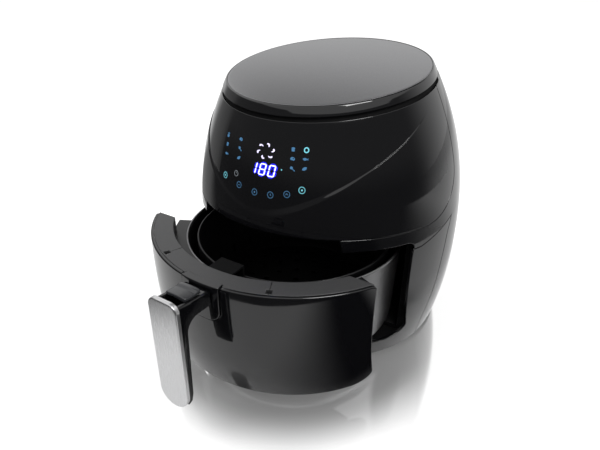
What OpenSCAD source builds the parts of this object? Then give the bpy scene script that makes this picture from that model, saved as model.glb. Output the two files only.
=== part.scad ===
// Digital air fryer with a pull-out drawer and a lift-out basket.
// Millimetres, +Z up, the front faces -Y. The origin is on the table under the body's axis.
// The drawer is drawn part of the way out, by drawer_out.

/* [Body] */
// Largest radius of the barrel-shaped body
body_r = 150; // [146:1:156]
// How much the body narrows towards the table
base_inset = 12.5; // [8:0.5:16]
// How much the body has narrowed at the height neck_z
neck_inset = 39; // [36:0.5:42]
// Height of the widest place
belly_z = 105; // [95:1:115]
// Height at which the body has narrowed by neck_inset
neck_z = 275; // [268:1:282]
// How late the body curves in below the belly
low_curve = 2.1; // [1.8:0.1:2.6]
// How late the body curves in above the belly
high_curve = 2.4; // [2.1:0.1:2.7]
// Wall of the moulded shells
wall = 3; // [2.4:0.1:3.2]
// Width of the seams between the shells
seam = 0.3; // [0.2:0.05:0.4]

/* [Lid] */
// Angle at which the lid falls towards the front
lid_tilt = 9.25; // [7:0.25:11]
// Height of the lid's face over the axis
lid_z = 285; // [281:0.5:288]
// Height of the shells' top edge over the axis
shell_top_z = 273.5; // [270:0.5:275]
// Height of the shadow gap under the lid band
lid_gap = 3.5; // [2:0.1:5]
// Thickness of the lid disc at its edge
disc_t = 2.6; // [2:0.1:4]
// Crown of the lid disc in its middle
disc_crown = 1.2; // [0:0.1:2]
// Rim of the band that stays round the disc
disc_margin = 1.6; // [1:0.1:3]

/* [Front cover] */
// Place of the cover's upright side seam
cover_back_y = 0; // [-4:1:6]
// Lower edge of the cover
cover_z = 155; // [153:0.5:158]
// Length of the curve that turns the side seam into the lower edge
cover_turn_y = 60; // [50:1:70]
// Height of that curve
cover_turn_z = 50; // [40:1:60]
// Height of the lowest point of the smile under the control panel
smile_z = 177; // [172:1:184]
// Rise of the smile's arms for each degree round the body
smile_rise = 1.35; // [1.1:0.05:1.6]
// Roundness of the smile in its middle
smile_round = 22; // [14:1:30]
// How far the control panel is set back
panel_set = 1.5; // [0.8:0.1:2]

/* [Drawer opening] */
// Distance from the body's widest place to the opening's side
open_inset = 18.5; // [17:0.5:19.5]
// Lower edge of the opening
open_z0 = 23.5; // [21:0.5:24]
// Upper edge of the opening beside the notch
open_z1 = 143; // [142.5:0.5:145]
// Distance from the opening's side to the taller notch in the middle
notch_inset = 49.5; // [44:0.5:57]
// Radius of the opening's lower corners
open_corner = 16; // [14:1:20]
// Depth at which the black mouth frame ends
mouth_y = -60; // [-62:0.5:-58]

/* [Drawer] */
// How far the drawer stands out
drawer_out = 76; // [60:1:90]
// Gap between the drawer front and the opening's side
front_gap = 2.5; // [2:0.25:4]
// Lower edge of the drawer front
front_z0 = 25; // [24.5:0.5:27]
// Top of the drawer and its rim
rim_z = 141; // [140:0.25:141.5]
// Distance from the drawer front's side to the rim's inner wall
rim_inset = 2; // [0.5:0.5:4]
// Thickness of the flat rim
rim_t = 3.5; // [3:0.1:4.5]
// Half angle of the bridge that lifts with the basket
bridge_angle = 24; // [20:0.5:27]
// Side of the small square notches in the rim
rim_notch = 5; // [3:0.5:6]

/* [Pan and basket] */
// Distance from the opening's side to the pan's rim
pan_gap = 16.5; // [15.5:0.5:17.5]
// How much the pan narrows towards its floor
pan_taper = 4; // [3:0.5:5]
// Underside of the pan
pan_z0 = 30; // [29.5:0.25:31]
// Top of the pan's wall
pan_z1 = 125; // [123:0.5:126]
// Sheet thickness of the pan and basket
sheet = 1.2; // [0.8:0.1:1.5]
// Gap between the rims of the pan and the basket
basket_gap = 10; // [9:0.5:12]
// How much the basket narrows towards its floor
basket_taper = 3; // [2:0.5:5]
// Underside of the basket's wall
basket_z0 = 38; // [37:0.5:40]
// Top of the basket
basket_z1 = 123; // [120:0.5:124]
// Diameter of the holes in the basket's floor
floor_hole_d = 7; // [4:0.5:8]
// Rings of holes in the basket's floor
floor_rings = 4; // [2:1:5]
// Slots round the basket's wall
wall_slots = 24; // [12:2:36]

/* [Handle] */
// Width of the arm and the grip behind the plate
arm_w = 27; // [24:0.5:29]
// Distance from the drawer's face to the front of the plate's top
handle_reach = 41; // [38:0.5:46]
// Angle at which the arm's top rises outwards
arm_rise = 8; // [6:0.5:10]
// Width of the silver plate
plate_w = 31; // [30:0.5:34]
// Top of the plate
plate_top = 148; // [147:0.5:150]
// Length of the plate
plate_len = 110; // [100:1:112]
// Thickness of the plate
plate_t = 4; // [3:0.25:5]
// Angle at which the plate leans out at its foot
plate_lean = 2; // [1:0.25:3]
// Thickness of the grip behind the plate
grip_t = 7; // [6:0.5:8]
// Half of the width of the handle's root
root_half = 20; // [18:0.5:22]
// Lowest point of the handle's root
root_z0 = 106; // [104:1:110]

/* [Button] */
// Length of the cover over the release button
cover_len = 18; // [16:0.5:19]
// Travel of the cover
cover_travel = 7; // [5:0.5:7.5]
// Travel of the release button
button_travel = 2.5; // [1.5:0.25:3]
// Half of the button's width
button_half = 7.5; // [6:0.25:8]
// Length of the release button
button_len = 11; // [9:0.5:12]
// Clearance of the moving pieces in the handle
slide_gap = 0.25; // [0.2:0.05:0.3]

/* [Hot air] */
// Height of the heating element
element_z = 164; // [162:0.5:165]
// Diameter of the element's tube
element_d = 6.5; // [5:0.5:7]
// Gap between the heat shield and the element's outer turn
element_gap = 14; // [12:0.5:18]
// Step between the element's turns
element_step = 14; // [11:1:15]
// Radius of the hot-air fan
fan_r = 70; // [60:1:75]
// Height of the hot-air fan's blades
fan_h = 11; // [8:0.5:12]
// Blades of the hot-air fan
fan_blades = 10; // [6:1:14]
// Radius of the rotor shaft
shaft_r = 3; // [2.5:0.25:4]
// Radius of the cooling fan
cooler_r = 54; // [45:1:56]
// Blades of the cooling fan
cooler_blades = 9; // [5:1:13]

/* [Hidden] */
$fn = 96;
eps = 0.01;
reach = 250;
gloss = "#17181b";
matt = "#3a3b3e";
steel = "#b9bcc0";
coat = "#1e1f21";
aluminised = "#8f9296";

// ---- heights and places that follow from the sizes above ----
base_r = body_r - base_inset;
neck_r = body_r - neck_inset;
open_half = body_r - open_inset;
notch_half = open_half - notch_inset;
front_half = open_half - front_gap;
rim_inner_r = front_half - rim_inset;
pan_r = open_half - pan_gap;
pan_floor_r = pan_r - pan_taper;
basket_r = pan_r - basket_gap;
basket_floor_r = basket_r - basket_taper;
foot_h = 4;
foot_inset = 25.5;
foot_half = 3;
foot_r = base_r - foot_inset;
base_t = 3;
barrel_top = 306;
barrel_steps = 22;
band_z = shell_top_z + lid_gap;
collar_inset = wall + 0.2;
collar_t = 3;
liner_t = 1;
liner_gap = 6;
liner_half = pan_r + liner_gap;
liner_z0 = 26;
liner_z1 = 150;
liner_front_y = mouth_y + 2;
mouth_wall = 2.4;
rail_w = 10;
rail_x = liner_half - 51;
rail_play = 0.95;
rail_back_y = sqrt(pow(liner_half, 2) - pow(rail_x + rail_w / 2, 2)) - rail_play;
shield_inset = 7;
shield_r = pan_r - shield_inset;
element_r = shield_r - element_gap;
shield_z = 187;
shield_t = 1;
deck_z = 208;
deck_t = 2.5;
deck_gap = 4;
deck_r = shield_r - deck_gap;
fan_z = element_z + element_d / 2 + 3;
fan_top_z = fan_z + fan_h;
cooler_z = shield_z + 4;
cooler_h = 12;
shaft_z0 = fan_z - 2;
shaft_z1 = 247;
motor_z0 = deck_z + deck_t + 4;
motor_h = 28;
bush_r = 48;
terminal_turn = 130;
switch_inset = 6;
switch_x = open_half - switch_inset;
switch_z = 130;
switch_play = 0.9;
surround_z = cover_z - 4;
front_edge_y = -sqrt(pow(barrel_r(rim_z), 2) - pow(front_half, 2));
arm_root_y = -barrel_r(130);
arm_root_z = 138.3;
face_y = -barrel_r(130) - handle_reach;
well_half = button_half + 1.5;
well_u0 = 8;
well_u1 = 35;
well_depth = 11;

// Radius of the barrel at a height
function barrel_r(z) = z < belly_z
    ? body_r - (body_r - base_r) * pow((belly_z - z) / belly_z, low_curve)
    : body_r - (body_r - neck_r) * pow((z - belly_z) / (neck_z - belly_z), high_curve);

// Points of an arc from angle a0 to a1
function arc(x, y, r, a0, a1, n = 6) =
    [for (i = [0:n]) let (a = a0 + (a1 - a0) * i / n) [x + r * cos(a), y + r * sin(a)]];

// The whole barrel, solid, with its radius smaller by inset
module barrel(inset = 0, over = 0) {
    rotate_extrude()
        polygon(concat(
            [[0, -over]],
            [for (i = [0:barrel_steps])
                let (z = barrel_top * i / barrel_steps)
                [barrel_r(z) - inset, i == 0 ? -over : i == barrel_steps ? z + over : z]],
            [[0, barrel_top + over]]));
}

// A skin of the barrel between two insets
module barrel_skin(outer, inner) {
    difference() {
        barrel(outer);
        barrel(inner, 1);
    }
}

// Everything between two heights
module slab(z0, z1) {
    translate([-reach, -reach, z0]) cube([2 * reach, 2 * reach, z1 - z0]);
}

// Everything under the tilted plane that crosses the axis at height h
module under_tilt(h) {
    translate([0, 0, h]) rotate([lid_tilt, 0, 0])
        translate([-reach, -reach, -2 * reach]) cube([2 * reach, 2 * reach, 2 * reach]);
}

// Everything between two tilted planes
module tilted_slab(h0, h1) {
    difference() {
        under_tilt(h1);
        under_tilt(h0);
    }
}

// Prism along X of an outline in Y and Z
module side_prism(outline, half = reach) {
    rotate([90, 0, 90]) linear_extrude(height = 2 * half, center = true) polygon(outline);
}

// Prism from the axis towards the front of an outline in X and Z
module front_prism(outline, length = reach) {
    rotate([90, 0, 0]) linear_extrude(height = length) polygon(outline);
}

// Side view of the region that the front cover fills
module cover_region(back = 0) {
    side_prism(concat(
        [[cover_back_y - back, barrel_top + 10]],
        [for (p = arc(0, 0, 1, 0, 90, 10))
            [cover_back_y - back - cover_turn_y * (1 - p[0]),
             cover_z + back + cover_turn_z * (1 - p[1])]],
        [[-reach, cover_z + back], [-reach, barrel_top + 10]]));
}

// Side view of the region that the drawer surround fills
module surround_region(back = 0) {
    side_prism([[-reach, -10], [-reach, surround_z - 19 - back],
                [mouth_y - 2, surround_z - 15.5 - back], [-9 - back, surround_z - back],
                [-17 - back, surround_z - 18], [-22 - back, 103], [-28 - back, 58],
                [-33 - back, 34], [-33 - back, -10]]);
}

// Outline of the drawer opening, larger by grow all round
function opening(grow = 0) = concat(
    arc(open_half + grow - open_corner, open_z0 - grow + open_corner, open_corner, -90, 0),
    arc(open_half + grow - 5, open_z1 + grow - 5, 5, 0, 90),
    [[notch_half + grow, open_z1 + grow], [notch_half + grow - 3, cover_z + grow],
     [3 - notch_half - grow, cover_z + grow], [-notch_half - grow, open_z1 + grow]],
    arc(5 - open_half - grow, open_z1 + grow - 5, 5, 90, 180),
    arc(open_corner - open_half - grow, open_z0 - grow + open_corner, open_corner, 180, 270));

// Outline of the drawer front
function front_outline() = concat(
    arc(front_half - 14, front_z0 + 14, 14, -90, 0), arc(front_half - 4, rim_z - 4, 4, 0, 90),
    arc(4 - front_half, rim_z - 4, 4, 90, 180), arc(14 - front_half, front_z0 + 14, 14, 180, 270));

// Outline of the U-shaped seat of the handle's root
function root_outline(grow = 0) = concat(
    arc(root_half + grow - 12, root_z0 - grow + 12, 12, -90, 0),
    [[root_half + grow, rim_z + 12], [-root_half - grow, rim_z + 12]],
    arc(12 - root_half - grow, root_z0 - grow + 12, 12, 180, 270));

// Height of the smile line at an angle from the front
function smile_h(a) = smile_z - smile_round + sqrt(pow(smile_round, 2) + pow(smile_rise * a, 2));

// Puts its children on the arm's top: -Y runs outwards along it, +Z stands on it
module on_arm() {
    translate([0, arm_root_y, arm_root_z]) rotate([-arm_rise, 0, 0]) children();
}

// Moves its children out with the drawer
module pulled() {
    translate([0, -drawer_out, 0]) children();
}

// A pan-head screw along +Z, with its head down
module screw(r, length, head_r = 0, head_h = 2) {
    cylinder(r = head_r == 0 ? 1.9 * r : head_r, h = head_h);
    translate([0, 0, head_h - eps]) cylinder(r = r, h = length);
}

// ---- housing ----
outlet_half = 46;
outlet_z0 = 168;
outlet_z1 = 222;
gland_z = 40;
gland_r = 8;
boss_x = liner_half - 33;
boss_places = [for (x = [-boss_x, boss_x], y = [-47, 47]) [x, y]];
gland_tilt = atan((barrel_r(gland_z + 10) - barrel_r(gland_z - 10)) / 20);

module rear_shell() {
    color(gloss) {
        difference() {
            intersection() {
                barrel_skin(0, wall);
                under_tilt(shell_top_z);
                slab(foot_h, reach * 2);
            }
            cover_region();
            surround_region();
            front_prism(opening());
            rotate([0, 0, 180])
                front_prism([[-outlet_half, outlet_z0], [outlet_half, outlet_z0],
                             [outlet_half, outlet_z1], [-outlet_half, outlet_z1]]);
            at_gland() translate([0, 0, -20]) cylinder(r = gland_r, h = 40);
        }
    }
}

module front_cover() {
    smile = [for (a = [-64:4:64]) [barrel_r(smile_h(a)) * sin(a), smile_h(a)]];
    color(gloss)
        difference() {
            intersection() {
                barrel_skin(0, wall);
                under_tilt(shell_top_z);
                cover_region(seam);
            }
            intersection() {
                front_prism(concat(smile, [[smile[32][0], barrel_top], [smile[0][0], barrel_top]]));
                difference() {
                    barrel(-2);
                    translate([0, panel_set, 0]) barrel(0, 1);
                }
            }
        }
}

module drawer_surround() {
    color(gloss)
        difference() {
            intersection() {
                barrel_skin(0, wall);
                slab(foot_h, reach);
                surround_region(seam);
            }
            front_prism(opening());
        }
}

module mouth_frame() {
    color("#101113")
        difference() {
            union() {
                intersection() {
                    barrel_skin(wall + 0.2, wall + 3);
                    front_prism(opening(9));
                }
                intersection() {
                    barrel(wall + 0.2);
                    front_prism(opening(mouth_wall));
                    translate([-reach, -reach, 0]) cube([2 * reach, reach + mouth_y, reach]);
                }
                intersection() {
                    translate([0, mouth_y + 2, 0]) front_prism(opening(mouth_wall), 2);
                    barrel(wall + 0.2);
                }
            }
            translate([0, 0, rim_z]) cylinder(r = shield_r + 0.4, h = 60);
            translate([0, 0, liner_z1 - 0.3]) cylinder(r = liner_half - 1.6, h = shield_t + 0.6);
            difference() {
                front_prism(opening());
                translate([-reach, mouth_y, 0]) cube([2 * reach, 2 + eps, reach]);
            }
            translate([-liner_half, mouth_y - 1, liner_z0 + liner_t])
                cube([2 * liner_half, 4, liner_z1 - liner_z0 - 2 * liner_t]);
            translate([-switch_x - 2.5, mouth_y - 1, switch_z - 2]) cube([5, 4, 10]);
        }
}

module lid_disc() {
    r = disc_radius - 0.1;
    color("#85878b")
        on_lid()
            rotate_extrude()
                polygon(concat([[0, -disc_t], [r, -disc_t], [r, -0.5], [r - 0.5, 0]],
                    [for (i = [5:-1:0]) let (x = (r - 1) * i / 6)
                        [x, disc_crown * (1 - pow(i / 6, 2))]]));
}

disc_back = -barrel_r(lid_z) * sin(lid_tilt) * 0.62;
disc_radius = barrel_r(lid_z + disc_back * sin(lid_tilt)) - disc_margin;

// Puts its children on the lid's face, +Z out of it
module on_lid() {
    translate([0, 0, lid_z]) rotate([lid_tilt, 0, 0]) translate([0, disc_back, 0]) children();
}

module lid_band() {
    color(gloss)
        difference() {
            intersection() {
                barrel(0);
                tilted_slab(band_z, lid_z);
            }
            intersection() {
                barrel(wall, 1);
                under_tilt(lid_z - disc_t - 2);
            }
            on_lid() translate([0, 0, -disc_t]) cylinder(r = disc_radius, h = 20);
            on_lid() translate([0, 0, -20]) cylinder(r = disc_radius - 4, h = 30);
        }
}

module lid_collar() {
    color("#0c0c0d")
        intersection() {
            barrel_skin(collar_inset, collar_inset + collar_t);
            tilted_slab(shell_top_z - 5, lid_z - disc_t - 2.2);
        }
}

module base_plate() {
    r = barrel_r(foot_h) - wall - 0.2;
    color("#1c1d1f")
        difference() {
            union() {
                translate([0, 0, foot_h]) cylinder(r = r, h = base_t);
                for (p = boss_places)
                    translate([p[0], p[1], foot_h]) cylinder(r = 7, h = liner_z0 - foot_h);
            }
            for (p = boss_places) {
                translate([p[0], p[1], foot_h - 1]) cylinder(r = 2.2, h = 30);
                translate([p[0], p[1], foot_h - 1]) cylinder(r = 4.4, h = 3.2);
            }
            for (i = [-4:4]) translate([i * 14 - 2, -30, foot_h - 1]) cube([4, 60, base_t + 2]);
        }
}

// A rubber ring that the body stands on, with four lugs under the base plate
module foot_ring() {
    edge = 0.6;
    color("#202022") {
        rotate_extrude() translate([foot_r, 0])
            polygon([[edge - foot_half, 0], [foot_half - edge, 0], [foot_half, edge],
                     [foot_half, foot_h], [-foot_half, foot_h], [-foot_half, edge]]);
        for (a = [50, 130, 230, 310])
            rotate([0, 0, a]) translate([foot_r, 0, 0.8]) cylinder(r = 10, h = foot_h - 0.8);
    }
}

module base_screws() {
    color(steel)
        for (p = boss_places)
            translate([p[0], p[1], foot_h + 0.4]) screw(2, 14, 3.8, 1.8);
}

// Plan of the cavity: straight sides and a round back
module liner_plan(half, front) {
    circle(r = half);
    translate([-half, front]) square([2 * half, -front]);
}

module inner_liner() {
    color(aluminised)
        difference() {
            union() {
                translate([0, 0, liner_z0]) linear_extrude(height = liner_z1 - liner_z0)
                    liner_plan(liner_half + liner_t, liner_front_y);
            }
            translate([0, 0, liner_z0 + liner_t])
                linear_extrude(height = liner_z1 - liner_z0 - 2 * liner_t)
                    union() {
                        liner_plan(liner_half, liner_front_y - 1);
                        translate([-liner_half, -liner_half - 5])
                            square([2 * liner_half, liner_half + 5 + liner_front_y]);
                    }
            translate([0, 0, liner_z0 - 1]) linear_extrude(height = liner_z1)
                translate([-reach, -reach]) square([2 * reach, reach + liner_front_y]);
            translate([0, 0, liner_z1 - 2]) cylinder(r = element_r + 8, h = 4);
            translate([0, 0, liner_z0 - 1]) cylinder(r = 20, h = 3);
        }
}

module drawer_rails() {
    color("#26272a")
        for (x = [-rail_x, rail_x])
            translate([x - rail_w / 2, liner_front_y + 2, liner_z0 + liner_t])
                cube([rail_w, rail_back_y - liner_front_y - 2,
                      pan_z0 - liner_z0 - liner_t - 0.2]);
}

module drawer_switch() {
    tip_y = front_edge_y + wall + switch_play;
    color("#2d2f33") {
        translate([-switch_x - 4.4, liner_front_y + eps, switch_z - 7]) cube([7.6, 7, 20]);
        translate([-switch_x - 2, tip_y, switch_z]) cube([4, liner_front_y + 2 - tip_y, 6]);
    }
}

// Puts its children on the wall where the cord leaves, +Z out of it
module at_gland() {
    translate([0, barrel_r(gland_z), gland_z]) rotate([-90 - gland_tilt, 0, 0]) children();
}

module cord_gland() {
    inside = -wall - 0.6;
    color("#1a1a1b")
        at_gland()
            rotate_extrude()
                polygon([[3.8, inside - 1.6], [gland_r + 2.5, inside - 1.6],
                         [gland_r + 2.5, inside], [gland_r - 0.2, inside], [gland_r - 0.2, 0.2],
                         [gland_r + 1.6, 0.2], [gland_r + 1.2, 2], [4.4, 2], [3.8, 0.6]]);
}

module outlet_grille() {
    slots = 9;
    pitch = (outlet_z1 - outlet_z0 - 4) / slots;
    color("#1b1c1e")
        difference() {
            intersection() {
                barrel_skin(0.2, wall + 1.5);
                rotate([0, 0, 180])
                    front_prism([[-outlet_half + 0.3, outlet_z0 + 0.3],
                                 [outlet_half - 0.3, outlet_z0 + 0.3],
                                 [outlet_half - 0.3, outlet_z1 - 0.3],
                                 [-outlet_half + 0.3, outlet_z1 - 0.3]]);
            }
            for (i = [0:slots - 1], x = [-outlet_half + 4, 2])
                translate([x, 60, outlet_z0 + 4 + i * pitch]) cube([outlet_half - 6, 100, 3]);
        }
}

module outlet_duct() {
    half = 34;
    z0 = outlet_z0 + 3;
    h = 14;
    back = barrel_r(outlet_z0 + 20) - wall - 4;
    color("#2a2b2e")
        difference() {
            translate([-half, shield_r - 6, z0]) cube([2 * half, back - shield_r + 4, h]);
            translate([-half + 2, shield_r - 7, z0 + 2])
                cube([2 * half - 4, back - shield_r + 6, h - 4]);
            cylinder(r = shield_r + 0.3, h = reach);
        }
}

// ---- hot-air unit ----
module heat_shield() {
    color(steel)
        difference() {
            rotate_extrude()
                polygon([[6, shield_z - shield_t], [shield_r - 12, shield_z - shield_t],
                         [shield_r - shield_t, shield_z - 12], [shield_r - shield_t, liner_z1],
                         [liner_half - 2, liner_z1], [liner_half - 2, liner_z1 + shield_t],
                         [shield_r, liner_z1 + shield_t], [shield_r, shield_z - 11.5],
                         [shield_r - 11.5, shield_z], [6, shield_z]]);
            translate([-30, shield_r - 20, outlet_z0 + 5]) cube([60, 30, 8]);
            for (x = [-terminal_half, terminal_half])
                rotate([0, 0, terminal_turn]) translate([x, -shield_r + 20, element_z])
                    rotate([90, 0, 0]) cylinder(r = element_d / 2 + 0.2, h = 30);
        }
}

// The element's path: a cold end, a flat spiral inwards, and the way back under the turns
element_low = 8;
terminal_half = 7;
terminal_end = shield_r + 10;
element_inner = element_r - 2.5 * element_step;
element_path = concat(
    [[-terminal_half, -terminal_end, 0], [-terminal_half, -element_r - 6, 0]],
    [for (a = [0:12:900])
        let (r = element_r - element_step * a / 360)
        [-r * sin(a + 7), -r * cos(a + 7), 0]],
    [[element_inner * sin(8), element_inner * cos(8), -2.5],
     [element_inner * sin(14) - 1, element_inner * cos(14) - 5, -element_low],
     [terminal_half + 7, element_inner - 16, -element_low], [terminal_half, 20, -element_low],
     [terminal_half, -40, -element_low], [terminal_half, -element_r + 4, -element_low],
     [terminal_half, -element_r - 4, -element_low / 2], [terminal_half, -element_r - 10, 0],
     [terminal_half, -terminal_end, 0]]);

function unit(v) = v / norm(v);

// Round tube of radius r along a path that never runs upright
module swept_tube(path, r, sides = 10) {
    last = len(path) - 1;
    rings = [for (i = [0:last])
        let (t = unit(path[min(i + 1, last)] - path[max(i - 1, 0)]),
             s = unit(cross(t, [0, 0, 1])),
             u = cross(s, t))
        for (k = [0:sides - 1])
            let (a = 360 * k / sides)
            path[i] + r * (cos(a) * s + sin(a) * u)];
    polyhedron(rings, concat(
        [[for (k = [0:sides - 1]) k]],
        [for (i = [0:last - 1], k = [0:sides - 1])
            let (n = (k + 1) % sides)
            [i * sides + k, (i + 1) * sides + k, (i + 1) * sides + n, i * sides + n]],
        [[for (k = [sides - 1:-1:0]) last * sides + k]]));
}

module heating_element() {
    color("#4a4c50")
        translate([0, 0, element_z]) rotate([0, 0, terminal_turn])
            swept_tube(element_path, element_d / 2);
}

module element_clips() {
    color(steel)
        for (a = [30, 150, 270])
            rotate([0, 0, a + 30])
                difference() {
                    translate([element_r - 2 * element_step - 5, -3, element_z - 5])
                        cube([2 * element_step + 12, 6, 1.4]);
                    translate([0, 0, element_z]) cylinder(r = 1, h = 1);
                }
}

module element_guard() {
    guard_step = 22;
    spoke_r = element_r - 3 * guard_step - 2;
    color(steel)
        translate([0, 0, liner_z1 - liner_t - 2]) {
            for (i = [0:3])
                rotate_extrude() translate([element_r - i * guard_step, 0])
                    circle(r = 1.1, $fn = 16);
            for (a = [0:60:300])
                rotate([0, 0, a]) translate([spoke_r, -1, 0.3])
                    cube([element_r + 12 - spoke_r, 2, 1.6]);
        }
}

module temperature_probe() {
    color(steel)
        rotate([0, 0, 200]) translate([shield_r - 26, 0, shield_z - 9]) rotate([0, 90, 0]) {
            cylinder(r = 2, h = 20);
            sphere(r = 2);
        }
}

module thermal_cutout() {
    color("#c9c1ad")
        rotate([0, 0, 250]) translate([shield_r - 33, 0, shield_z]) {
            cylinder(r = 7, h = 5);
            translate([-12, -3, 0]) cube([24, 6, 0.8]);
        }
}

module motor_deck() {
    color("#2e3034")
        difference() {
            translate([0, 0, deck_z]) cylinder(r = deck_r, h = deck_t);
            translate([0, 0, deck_z - 1]) cylinder(r = 12, h = deck_t + 2);
            for (a = [0:45:315])
                rotate([0, 0, a + 22.5]) translate([38, -6, deck_z - 1]) cube([16, 12, deck_t + 2]);
            for (a = [45:90:315])
                rotate([0, 0, a]) translate([bush_r, 0, deck_z - 1]) cylinder(r = 2.2, h = deck_t + 2);
        }
}

module deck_posts() {
    color("#2e3034")
        for (a = [45:90:315])
            rotate([0, 0, a]) translate([deck_r - 22, 0, shield_z])
                cylinder(r = 5, h = deck_z - shield_z);
}

module motor() {
    color("#6f7276")
        difference() {
            union() {
                translate([-30, -25, motor_z0 + 4]) cube([60, 50, 18]);
                translate([0, 0, motor_z0]) cylinder(r = 24, h = motor_h);
                translate([-28, -28, motor_z0 + 8]) cube([16, 56, 10]);
                for (a = [45:90:315])
                    rotate([0, 0, a]) translate([18, -5, motor_z0]) cube([bush_r - 13, 10, 4]);
            }
            translate([0, 0, motor_z0 - 1]) cylinder(r = shaft_r + 0.05, h = motor_h + 2);
            for (a = [45:90:315])
                rotate([0, 0, a]) translate([bush_r, 0, motor_z0 - 1]) cylinder(r = 2.1, h = 6);
        }
}

module motor_bushes() {
    color("#1d1d1e")
        for (a = [45:90:315])
            rotate([0, 0, a]) translate([bush_r, 0, 0])
                rotate_extrude()
                    polygon([[0, deck_z], [2, deck_z], [2, deck_z + deck_t], [5, deck_z + deck_t],
                             [5, motor_z0], [1.9, motor_z0], [1.9, motor_z0 + 4],
                             [3.4, motor_z0 + 4], [3.4, motor_z0 + 6.5], [0, motor_z0 + 6.5]]);
}

module power_board() {
    board_y = bush_r * sin(45) + 10;
    board_d = deck_r - 16 - board_y;
    color("#2f6b3c")
        translate([-42, board_y, deck_z + deck_t]) {
            translate([0, 0, 5]) cube([84, board_d, 1.6]);
            for (x = [5, 79], y = [5, board_d - 5]) translate([x, y, 0]) cylinder(r = 2.5, h = 5);
            translate([8, 8, 6.6]) cube([26, 24, 18]);
            translate([42, 6, 6.6]) cube([18, 12, 14]);
            translate([70, 14, 6.6]) cylinder(r = 6, h = 16);
            translate([48, 26, 6.6]) cube([26, 12, 8]);
        }
}

// ---- control panel ----
panel_mid_z = 213;
board_depth = 20;
panel_slope = atan((barrel_r(panel_mid_z - 20) - barrel_r(panel_mid_z + 20)) / 40);

// Puts its children behind the control panel: -Y points out of the cover, square to it
module on_panel(depth) {
    translate([0, -barrel_r(panel_mid_z) + panel_set, panel_mid_z])
        rotate([-panel_slope, 0, 0]) translate([0, depth, 0]) children();
}

module touch_board() {
    color("#1f5a34") on_panel(board_depth) translate([-52, 0, -27]) cube([104, 1.6, 54]);
}

module display_module() {
    color("#e8e8ea")
        on_panel(board_depth) {
            translate([-16, 3 - board_depth, -9]) cube([32, board_depth - 3, 18]);
            translate([0, 0, 20]) rotate([90, 0, 0]) cylinder(r = 10, h = board_depth - 4.4);
        }
}

module panel_frame() {
    color("#26272a")
        intersection() {
            on_panel(board_depth) {
                difference() {
                    translate([-60, 1.6, -33]) cube([120, 2.4, 66]);
                    translate([-46, 0, -20]) cube([92, 6, 40]);
                }
                for (x = [-57, 57], z = [-28, 28])
                    translate([x, 1.7, z]) rotate([90, 0, 0]) cylinder(r = 4, h = 40);
            }
            barrel(wall + 0.3);
        }
}

// ---- rotor ----
module rotor_shaft() {
    color(steel) translate([0, 0, shaft_z0]) cylinder(r = shaft_r, h = shaft_z1 - shaft_z0);
}

module hot_air_fan() {
    color(steel)
        difference() {
            union() {
                translate([0, 0, fan_top_z - 1]) cylinder(r = fan_r, h = 1);
                translate([0, 0, fan_z + 3]) cylinder(r = 8, h = fan_h - 3);
                for (i = [0:fan_blades - 1])
                    rotate([0, 0, 360 / fan_blades * i]) translate([24, -30, fan_z])
                        rotate([0, 0, 20])
                            rotate_extrude(angle = 62) translate([30, 0])
                                square([0.9, fan_h - 0.5]);
            }
            translate([0, 0, fan_z - 1]) cylinder(r = shaft_r + 0.02, h = fan_h + 4);
            difference() {
                translate([0, 0, fan_z - 1]) cylinder(r = 2 * fan_r, h = fan_h + 4);
                translate([0, 0, fan_z - 2]) cylinder(r = fan_r, h = fan_h + 6);
            }
        }
}

module cooling_fan() {
    color("#d9d9d6")
        difference() {
            union() {
                translate([0, 0, cooler_z]) cylinder(r = cooler_r, h = 1.5);
                translate([0, 0, cooler_z]) cylinder(r = 9, h = cooler_h);
                for (i = [0:cooler_blades - 1])
                    rotate([0, 0, 360 / cooler_blades * i]) translate([12, -1, cooler_z + 1])
                        cube([cooler_r - 14, 1.6, cooler_h - 1]);
            }
            translate([0, 0, cooler_z - 1]) cylinder(r = shaft_r + 0.02, h = cooler_h + 4);
        }
}

module fan_nut() {
    color(steel)
        difference() {
            translate([0, 0, fan_z - 1]) cylinder(r = 5.5, h = 4, $fn = 6);
            translate([0, 0, fan_z - 2]) cylinder(r = shaft_r + 0.02, h = 6);
        }
}

// ---- drawer ----
module drawer_front() {
    color(gloss)
        pulled()
            difference() {
                intersection() {
                    barrel();
                    front_prism(front_outline());
                }
                difference() {
                    barrel(wall, 1);
                    translate([-reach, -reach, 0])
                        cube([2 * reach, reach + front_edge_y, front_z0 + wall]);
                }
                cylinder(r = pan_floor_r + 9, h = reach);
                front_prism(root_outline(slide_gap));
            }
}

module drawer_rim() {
    r1 = barrel_r(rim_z) - wall - 0.1;
    color(matt)
        pulled()
            difference() {
                rotate_extrude()
                    polygon([[rim_inner_r, pan_z1 + 1.6], [rim_inner_r + 2.5, pan_z1 + 1.6],
                             [rim_inner_r + 2.5, rim_z - rim_t], [r1, rim_z - rim_t],
                             [r1, rim_z], [rim_inner_r, rim_z]]);
                translate([-reach, front_edge_y, 0]) cube(2 * reach);
                bridge_wedge(bridge_angle, reach);
                for (s = [-1, 1]) rim_hole(s);
            }
}

// Wedge of the plan between plus and minus an angle from the front
module bridge_wedge(angle, h) {
    linear_extrude(height = h)
        polygon([[0, 0], [-reach * sin(angle), -reach * cos(angle)],
                 [reach * sin(angle), -reach * cos(angle)]]);
}

// Small square hole through the rim beside the bridge
module rim_hole(side) {
    rotate([0, 0, side * bridge_angle])
        translate([-rim_notch / 2, -rim_inner_r - 12 - rim_notch, rim_z - 2])
            cube([rim_notch, rim_notch, 4]);
}

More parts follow.
